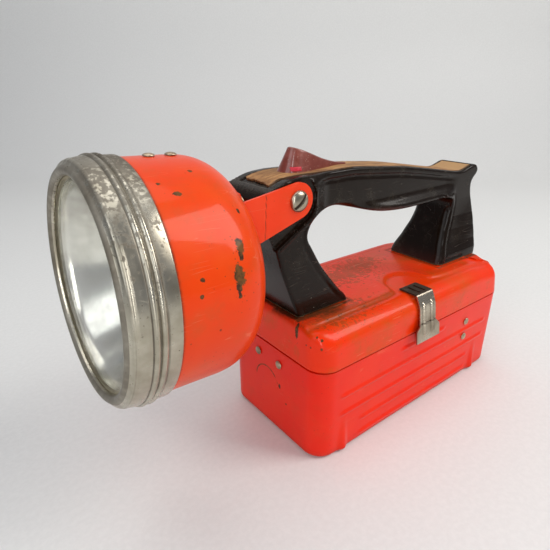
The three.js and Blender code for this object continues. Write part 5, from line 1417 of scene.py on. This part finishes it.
class LANTERN_OT_bezel(bpy.types.Operator):
    """Rolls the bright bezel with its nose, band and double bead"""
    bl_idname = "lantern.bezel"
    bl_label = "Bezel"

    def execute(self, context):
        head = HeadFrame(context.scene.lantern_head)
        outer, opening, rear = head.size.bezel_radius, head.size.opening, head.size.bezel_rear
        bore = outer - 0.6
        nose = smooth_curve([
            (0.8, opening), (0.1, opening + 0.25), (-0.5, opening + 0.8), (-0.88, opening + 1.6),
            (-0.85, opening + 2.4), (-0.35, opening + 3.1), (0.35, opening + 3.7), (0.9, opening + 4.4),
            (1.25, opening + 5.0), (1.9, opening + 5.45), (2.8, opening + 5.7), (4.2, outer - 0.4),
            (5.6, outer - 0.12), (6.7, outer),
        ], 5)
        beads = [
            (start + 2.35 * share, outer - 0.12 + 0.92 * math.sin(math.pi * share) ** 0.8)
            for start in (6.9, 9.5) for share in np.linspace(0, 1, 12)
        ]
        skirt = [(12.2, outer - 0.1), (12.8, outer), (15.0, outer), (16.2, outer), (rear - 0.12, outer - 0.02)]
        outside = [*nose, *beads, *skirt]
        inside = [
            (rear, outer - 0.15), (rear, bore + 0.1), (rear - 0.1, bore), (12.8, bore), (2.6, bore),
            (2.0, bore - 0.5), (1.6, opening + 5.0), (1.1, opening + 4.2), (0.9, opening + 2.8),
            (1.2, opening + 1.0), (1.4, opening), (1.1, opening - 0.12),
        ]
        profile = np.array([*outside, *inside, outside[0]])
        back = profile[:len(outside), 0]
        # Painted dark reflection, with dirt, on the nose's front face; dirt in the grooves by the beads and behind
        # the nose.
        dirt_and_shade = 0.85 * (back < 0.3)
        for groove, strength, half in ((6.8, 1.0, 0.6), (9.4, 1.0, 0.5), (12.0, 0.9, 0.6), (1.7, 0.5, 0.6)):
            dirt_and_shade = dirt_and_shade + strength * hump(back, groove, half)
        grime_and_shade = np.concatenate([np.clip(dirt_and_shade, 0, 1), np.zeros(len(inside) + 1)])
        piece = head.turned("bezel_rolling", profile, 240, {"grime_and_shade": grime_and_shade}, self.dents)
        shade(piece, 55)
        sooty = ((head.spot(head.lens_x + 6, -6, head.axis_z + outer), 34.0),)
        chrome = dulled_chrome("bezel_chrome", context.scene.lantern_colours.chrome, rgb(158, 150, 132), soot=sooty)
        fit_out(piece, "bezel", "bezel_steel", chrome, "bezel_ring")
        return {"FINISHED"}

    def dents(self, back, turn):
        """Slight flats and knocks round the band."""
        slow = 0.05 * np.sin(3 * turn + 0.7) + 0.035 * np.sin(7 * turn + back * 0.2)
        knock = -0.28 * hump(turn, 3.42, 0.055) * hump(back, 4.6, 3.0)
        knock = knock - 0.22 * hump(turn, 3.33, 0.05) * hump(back, 14.6, 2.0)
        return (slow + knock - 0.1) * ease(back, 0.5, 3.0)


class LANTERN_OT_lens(bpy.types.Operator):
    """Sets the domed glass"""
    bl_idname = "lantern.lens"
    bl_label = "Lens"

    def execute(self, context):
        head = HeadFrame(context.scene.lantern_head)
        opening = head.size.opening
        face, thick, dome, rim = 1.7, 2.4, 1.6, opening + 3.8
        front, rear = [], []
        for share in np.linspace(0, 1, 30):
            radius, lift = (opening - 0.3) * share, dome * (1 - share ** 2)
            front.append((face - lift, radius))
            rear.append((face - lift * 0.9 + thick, radius))
        edge = [(face, rim - 0.2), (face + 0.2, rim), (face + thick - 0.2, rim), (face + thick, rim - 0.2)]
        profile = np.array([*front, *edge, *reversed(rear)])
        grime_and_shade = ease(profile[:, 1], opening - 2.6, opening - 0.3)
        piece = head.turned("lens_glass_disc", profile, 128, {"grime_and_shade": grime_and_shade})
        fit_out(piece, "bezel", "lens_glass", clear_glass("lens_clear", rgb(176, 164, 136)), "lens")
        return {"FINISHED"}


class LANTERN_OT_reflector(bpy.types.Operator):
    """Presses the mirrored reflector"""
    bl_idname = "lantern.reflector"
    bl_label = "Reflector"

    def execute(self, context):
        head = HeadFrame(context.scene.lantern_head)
        rim, outer = head.size.opening - 0.5, head.size.bowl_radius - 0.5
        deep, hole, wall, flange = 39.5, 8.6, 0.8, 6.1
        vertex = flange + deep + wall
        radii = np.linspace(rim, hole, 50)
        mirrored, back = ([(vertex - deep * (r / rim) ** 2 + offset, r) for r in radii] for offset in (0.0, 1.1))
        collar = [(4.3, rim + 0.35), (4.3, rim + 0.9), (flange, rim + 1.0), (flange, outer), (flange + wall, outer)]
        profile = [*reversed(mirrored), *collar, (flange + wall, rim + 1.6), *back[1:], mirrored[-1]]
        piece = head.turned("reflector_dish", profile, 160)
        shade(piece, 35)
        fit_out(piece, "head", "reflector_mirror", mirror("reflector_silver", rgb(240, 240, 228)), "reflector")
        return {"FINISHED"}


ARM_END = 7.95  # radius of the arms' round ends


class LANTERN_OT_yoke(bpy.types.Operator):
    """Cuts and bends the yoke: two arms with round ends and a saddle on the back of the bowl"""
    bl_idname = "lantern.yoke"
    bl_label = "Yoke"

    def execute(self, context):
        head = HeadFrame(context.scene.lantern_head)
        piece = join("yoke_strap", [self.arm(head, -1), self.arm(head, 1), self.saddle(head)])
        x, _, z = (corners_of(piece) - head.pivot).T
        along = x * math.cos(head.tilt) - z * math.sin(head.tilt)
        # Darker in a thin line along the bend of each arm.
        add_layer(piece.data, "grime_and_shade", 0.9 * hump(along, -17.2, 0.55))
        shade(piece)
        spots = ((head.spot(5.6, -17.0, 6.8), 0.5, (1, 1, 1)),)
        orange = context.scene.lantern_colours.arm_orange
        paint = enamel("yoke_enamel", orange, rgb(242, 74, 34), rgb(206, 78, 30), spots, age=0.7)
        fit_out(piece, "head", "yoke_paint", paint, "yoke")
        return {"FINISHED"}

    def plate_y(self, x):
        """The arm's outer face: straight at the pivot, then leaning in a little towards the bowl."""
        return 16.7 - 1.4 * np.clip((-18 - x) / 31.7, 0, 1)

    def edge(self, x, slope, side):
        """Height of the arm's upper (side 1) or lower (side -1) edge: a round end, then a straight edge."""
        rise = math.hypot(1, slope)
        touch = -side * ARM_END * slope / rise
        round_part = np.sqrt(np.clip(ARM_END ** 2 - x ** 2, 0, None))
        return np.where(x > touch, side * round_part, side * ARM_END * rise + slope * x)

    def arm(self, head, side):
        """One arm, in rows from its round end to where it meets the bowl."""
        across = np.linspace(0, 1, 41)
        end = np.full(len(across), -30.0)
        for _ in range(12):
            reach = np.hypot(self.plate_y(end) - 0.6, self.level(end, across, side) - head.axis_z)
            end = head.lens_x + head.bowl_back(reach, 0.3)
        stops = [np.full(len(across), x) for x in ARM_END * np.cos(np.linspace(0, math.pi / 2, 24))]
        stops += [end * share for share in np.linspace(0, 1, 50)[1:]]
        plan = np.array([np.stack([x, self.level(x, across, side)], -1) for x in stops])
        crease = 0.16 * hump(plan[..., 0], -17.2, 0.7)
        face = np.stack([plan[..., 0], side * (self.plate_y(plan[..., 0]) - crease), plan[..., 1]], -1)
        piece = weld(skin("arm", head.placed(face), closed=False), 0.002, shell=False)
        face_towards(piece, (0, side, 0))
        return thicken(piece, 1.3)

    def level(self, x, across, side):
        """Heights across the arm at a distance from the pivot; the far arm is cut a little lower."""
        low, high = self.edge(x, 0.363, -1), self.edge(x, 0.214, 1)
        high = high - 0.9 * (side > 0) * ease(-x, 2, 14)
        return low + (high - low) * across

    def saddle(self, head):
        """The plate between the arms, lying on the bowl."""
        bottom, top, half = -14.4, 5.6, 14.6
        y, z = np.meshgrid(np.linspace(-1, 1, 41) * half, bottom + (top - bottom) * np.linspace(0, 1, 31))
        x = head.lens_x + head.bowl_back(np.hypot(y, z - head.axis_z), 1.5)
        piece = skin("saddle", head.placed(np.stack([x, y, z], -1)), closed=False)
        face_towards(piece, (1, 0, 0))
        return thicken(piece, 1.2)


class LANTERN_OT_pivot_screws(bpy.types.Operator):
    """Turns the two slotted dome screws of the tilt pivot"""
    bl_idname = "lantern.pivot_screws"
    bl_label = "Pivot screws"

    def execute(self, context):
        finish = dulled_chrome("screw_steel", context.scene.lantern_colours.chrome, rgb(150, 138, 116), 1.0)
        for side, node in ((-1, "pivot_screw_near"), (1, "pivot_screw_far")):
            fit_out(self.screw(side, node), "lid", "screw_steel", finish, node)
        return {"FINISHED"}

    def screw(self, side, node):
        """A domed head with a darkened slot, on a plain shank."""
        radius, tall, shank, depth, seat, steps = 4.7, 2.2, 2.0, 5.7, 16.92, 120
        rows, grime_and_shade = [], []
        turns = np.linspace(0, 2 * math.pi, steps, endpoint=False)
        lean = math.radians(44 if side < 0 else -35)
        for share in np.linspace(0, 1, 44):
            out = radius * share
            lift = tall * math.sqrt(max(0.0, 1 - share ** 2.4))
            x, z = out * np.cos(turns), out * np.sin(turns)
            off = np.abs(-x * math.sin(lean) + z * math.cos(lean))
            slot = (1 - ease(off, 0.6, 0.9)) * (1 - ease(out, radius - 0.9, radius - 0.3))
            rows.append(np.stack([x, lift - slot * np.minimum(1.0, lift * 0.8), z], -1))
            grime_and_shade.append(slot)
        for out, lift in ((radius, -0.15), (shank, -0.15), (shank, -depth), (0.0, -depth)):
            rows.append(np.stack([out * np.cos(turns), np.full(steps, lift), out * np.sin(turns)], -1))
            grime_and_shade.append(np.zeros(steps))
        rows = np.array(rows)
        rows[..., 1] = side * (rows[..., 1] + seat)
        rows[..., 0] += PIVOT[0]
        rows[..., 2] += PIVOT[1]
        piece = weld(skin(node + "_turned", rows, attributes={"grime_and_shade": np.array(grime_and_shade)}))
        shade(piece, 35)
        return piece


# Rivets and screws by Geometry Nodes


def rivet_tree():
    """A tree that sets a domed rivet on every corner of a mesh, square to the corner's facing."""
    tree = bpy.data.node_groups.new("domed_rivets", "GeometryNodeTree")
    sockets = [("Geometry", "Geometry", "INPUT")]
    sockets += [(name, "Float", "INPUT") for name in ("Head radius", "Head height", "Shank radius", "Shank length")]
    sockets += [("Finish", "Material", "INPUT"), ("Geometry", "Geometry", "OUTPUT")]
    for name, kind, way in sockets:
        tree.interface.new_socket(name, in_out=way, socket_type="NodeSocket" + kind)
    start, end = tree.nodes.new("NodeGroupInput"), tree.nodes.new("NodeGroupOutput")
    size = start.outputs

    def add(kind, values, output=0, **settings):
        return add_node(tree, kind, settings, values).outputs[output]

    # The dome: a half sphere with its height set apart from its radius.
    dome = add("GeometryNodeMeshUVSphere", {"Segments": 40, "Rings": 24, "Radius": 1.0}, "Mesh")
    split = add("ShaderNodeSeparateXYZ", {0: add("GeometryNodeInputPosition", {})}).node.outputs
    level = add("ShaderNodeMath", {0: split["Z"], 1: 0.0}, operation="MAXIMUM")
    flat = add("ShaderNodeCombineXYZ", {0: split["X"], 1: split["Y"], 2: level})
    capped = add("GeometryNodeSetPosition", {"Geometry": dome, "Position": flat})
    scale = add("ShaderNodeCombineXYZ", {0: size["Head radius"], 1: size["Head radius"], 2: size["Head height"]})
    head = add("GeometryNodeTransform", {"Geometry": capped, "Scale": scale})
    shank = {"Vertices": 24, "Radius": size["Shank radius"], "Depth": size["Shank length"]}
    shank = add("GeometryNodeMeshCylinder", shank, "Mesh", fill_type="NGON")
    sink = add("ShaderNodeMath", {0: size["Shank length"], 1: -0.5}, operation="MULTIPLY")
    drop = add("ShaderNodeCombineXYZ", {2: sink})
    stem = add("GeometryNodeTransform", {"Geometry": shank, "Translation": drop})
    rivet = add("GeometryNodeJoinGeometry", {0: head})
    tree.links.new(stem, rivet.node.inputs[0])
    facing = add("GeometryNodeInputNamedAttribute", {"Name": "facing"}, data_type="FLOAT_VECTOR")
    turn = add("FunctionNodeAlignRotationToVector", {"Vector": facing}, axis="Z")
    on_points = add("GeometryNodeInstanceOnPoints", {"Points": size[0], "Instance": rivet, "Rotation": turn})
    real = add("GeometryNodeRealizeInstances", {"Geometry": on_points})
    tree.links.new(add("GeometryNodeSetMaterial", {"Geometry": real, "Material": size["Finish"]}), end.inputs[0])
    return tree


def set_rivets(name, tree, places, sizes, finish):
    """Rivets with their head's seat at (place, direction) pairs in metres, made a plain mesh."""
    seat = new_piece(name, [], [])
    seat.data.vertices.add(len(places))
    seat.data.vertices.foreach_set("co", np.ravel([place for place, _ in places]))
    add_layer(seat.data, "facing", [direction for _, direction in places], "FLOAT_VECTOR", "vector")
    modifier = seat.modifiers.new("rivets", "NODES")
    modifier.node_group = tree
    keys = {item.name: item.identifier for item in tree.interface.items_tree if item.in_out == "INPUT"}
    for label, value in sizes.items():
        modifier[keys[label]] = value * MM
    modifier[keys["Finish"]] = finish
    return weld(apply_modifiers(seat))


RIVETS = (
    # name, body, nodes, direction, head radius, head height, shank radius, shank length (0: as long as the node)
    ("front_rivets", "case", ("front_rivet_1", "front_rivet_2"), (-1, 0, 0), 2.2, 0.85, 1.2, 0),
    ("side_rivets", "case", ("side_rivet_1", "side_rivet_2"), (0, -1, 0), 2.2, 0.85, 1.2, 0),
    ("bowl_rivets", "head", ("bowl_rivet_1", "bowl_rivet_2"), "up", 2.3, 0.9, 1.1, 2.5),
    ("yoke_rivets", "head", ("yoke_rivet_1", "yoke_rivet_2"), "bowl", 2.3, 0.9, 1.1, 3.1),
    ("foot_screws", "lid", tuple(f"handle_screw_{i}" for i in range(1, 5)), (0, 0, -1), 3.8, 1.8, 2.0, 0),
)


class LANTERN_OT_rivets(bpy.types.Operator):
    """Sets the rivets of the case, bowl and yoke and the handle's foot screws"""
    bl_idname = "lantern.rivets"
    bl_label = "Rivets and screws"

    def execute(self, context):
        tree = rivet_tree()
        finish = plain_metal("rivet_metal", rgb(196, 178, 152), rgb(128, 108, 84), 0.28)
        head = HeadFrame(context.scene.lantern_head)
        for name, body, nodes, direction, radius, height, shank, reach in RIVETS:
            places = []
            for node in nodes:
                low, high = (np.array(corner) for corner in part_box(node))
                middle = (low + high) / 2
                out = self.facing(head, direction, middle / MM)
                depth = reach or float(np.abs((high - low) @ out)) / MM - height
                places.append((middle + out * (depth - height) / 2 * MM, out))
            sizes = {"Head radius": radius, "Head height": height, "Shank radius": shank, "Shank length": depth}
            piece = set_rivets(name, tree, places, sizes, finish)
            fit_out(piece, body, "rivet_steel", finish, *nodes)
        return {"FINISHED"}

    def facing(self, head, direction, place):
        """A direction, the head's own up, or the way the back of the bowl faces at a place in millimetres."""
        if direction == "up":
            return head.placed((0, 0, 1)) - head.pivot
        if direction != "bowl":
            return np.array(direction, float)
        cosine, sine = math.cos(head.tilt), math.sin(head.tilt)
        x, y, z = place - head.pivot
        level = x * sine + z * cosine - head.axis_z
        radius = math.hypot(y, level)
        slope = float(head.bowl_back(radius - 0.1) - head.bowl_back(radius + 0.1)) / 0.2
        out = np.array([1.0, slope * y / radius, slope * level / radius])
        return (head.placed(out) - head.pivot) / np.linalg.norm(out)


class LANTERN_OT_insides(bpy.types.Operator):
    """Gives the battery, contacts, hinge and bulb parts their finishes"""
    bl_idname = "lantern.insides"
    bl_label = "Inner parts"

    def execute(self, context):
        rows = (
            (plain_metal("stamped_steel", rgb(182, 180, 172), rgb(124, 116, 102), 0.32),
             "catch_keeper", "battery_spring_leaf", "board_bracket", "hinge_leaf_case", "hinge_leaf_lid",
             "hinge_pin", "bezel_clip", "battery_terminal_centre", "battery_terminal_corner"),
            (plain_metal("contact_metal", rgb(196, 158, 88), rgb(132, 98, 50), 0.28),
             "contact_plate_centre", "contact_plate_corner", "bulb_holder", "bulb_cap", "bulb_contact",
             "switch_leaf"),
            (soft_matt("fibre_board", rgb(104, 70, 42), rgb(128, 92, 60), 0.7, 380.0), "contact_board"),
            (soft_matt("battery_wrap", rgb(40, 60, 98), rgb(56, 78, 118), 0.42, 60.0), "battery_block"),
            (soft_matt("black_rubber", rgb(28, 28, 27), rgb(52, 50, 46), 0.8, 420.0), "lens_gasket", "wire_grommet"),
            (clear_glass("bulb_clear", rgb(200, 196, 180)), "bulb_glass"),
            (soft_matt("liner_card", rgb(92, 84, 66), rgb(116, 106, 84), 0.8, 300.0), "battery_liner"),
        )
        for finish, *names in rows:
            for name in names:
                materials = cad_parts[name].data.materials
                materials.clear()
                materials.append(finish)
        return {"FINISHED"}


class LANTERN_PT_panel(bpy.types.Panel):
    """Lists the lantern's pieces, sizes and colours"""
    bl_idname = "LANTERN_PT_panel"
    bl_label = "Box lantern"
    bl_space_type = "VIEW_3D"
    bl_region_type = "UI"
    bl_category = "Lantern"

    def draw(self, context):
        column = self.layout.column(align=True)
        for operator in OPERATORS:
            column.operator(operator.bl_idname)
        for name, group in GROUPS:
            box = self.layout.box()
            for key in group.__annotations__:
                box.prop(getattr(context.scene, name), key)


GROUPS = (
    ("lantern_case", CaseSizes), ("lantern_handle", HandleSizes), ("lantern_head", HeadSizes),
    ("lantern_colours", Colours),
)
OPERATORS = (
    LANTERN_OT_stage, LANTERN_OT_case, LANTERN_OT_lid, LANTERN_OT_latch, LANTERN_OT_handle, LANTERN_OT_strip,
    LANTERN_OT_switch, LANTERN_OT_bowl, LANTERN_OT_bezel, LANTERN_OT_lens, LANTERN_OT_reflector, LANTERN_OT_yoke,
    LANTERN_OT_pivot_screws, LANTERN_OT_rivets, LANTERN_OT_insides,
)


def register():
    for name, group in GROUPS:
        bpy.utils.register_class(group)
        setattr(bpy.types.Scene, name, bpy.props.PointerProperty(type=group))
    for kind in (*OPERATORS, LANTERN_PT_panel):
        bpy.utils.register_class(kind)


def unregister():
    for kind in (LANTERN_PT_panel, *reversed(OPERATORS)):
        bpy.utils.unregister_class(kind)
    for name, group in reversed(GROUPS):
        delattr(bpy.types.Scene, name)
        bpy.utils.unregister_class(group)


def main():
    """Builds the whole lantern."""
    register()
    for operator in OPERATORS:
        family, step = operator.bl_idname.split(".")
        getattr(getattr(bpy.ops, family), step)()


if __name__ == "__main__":
    main()
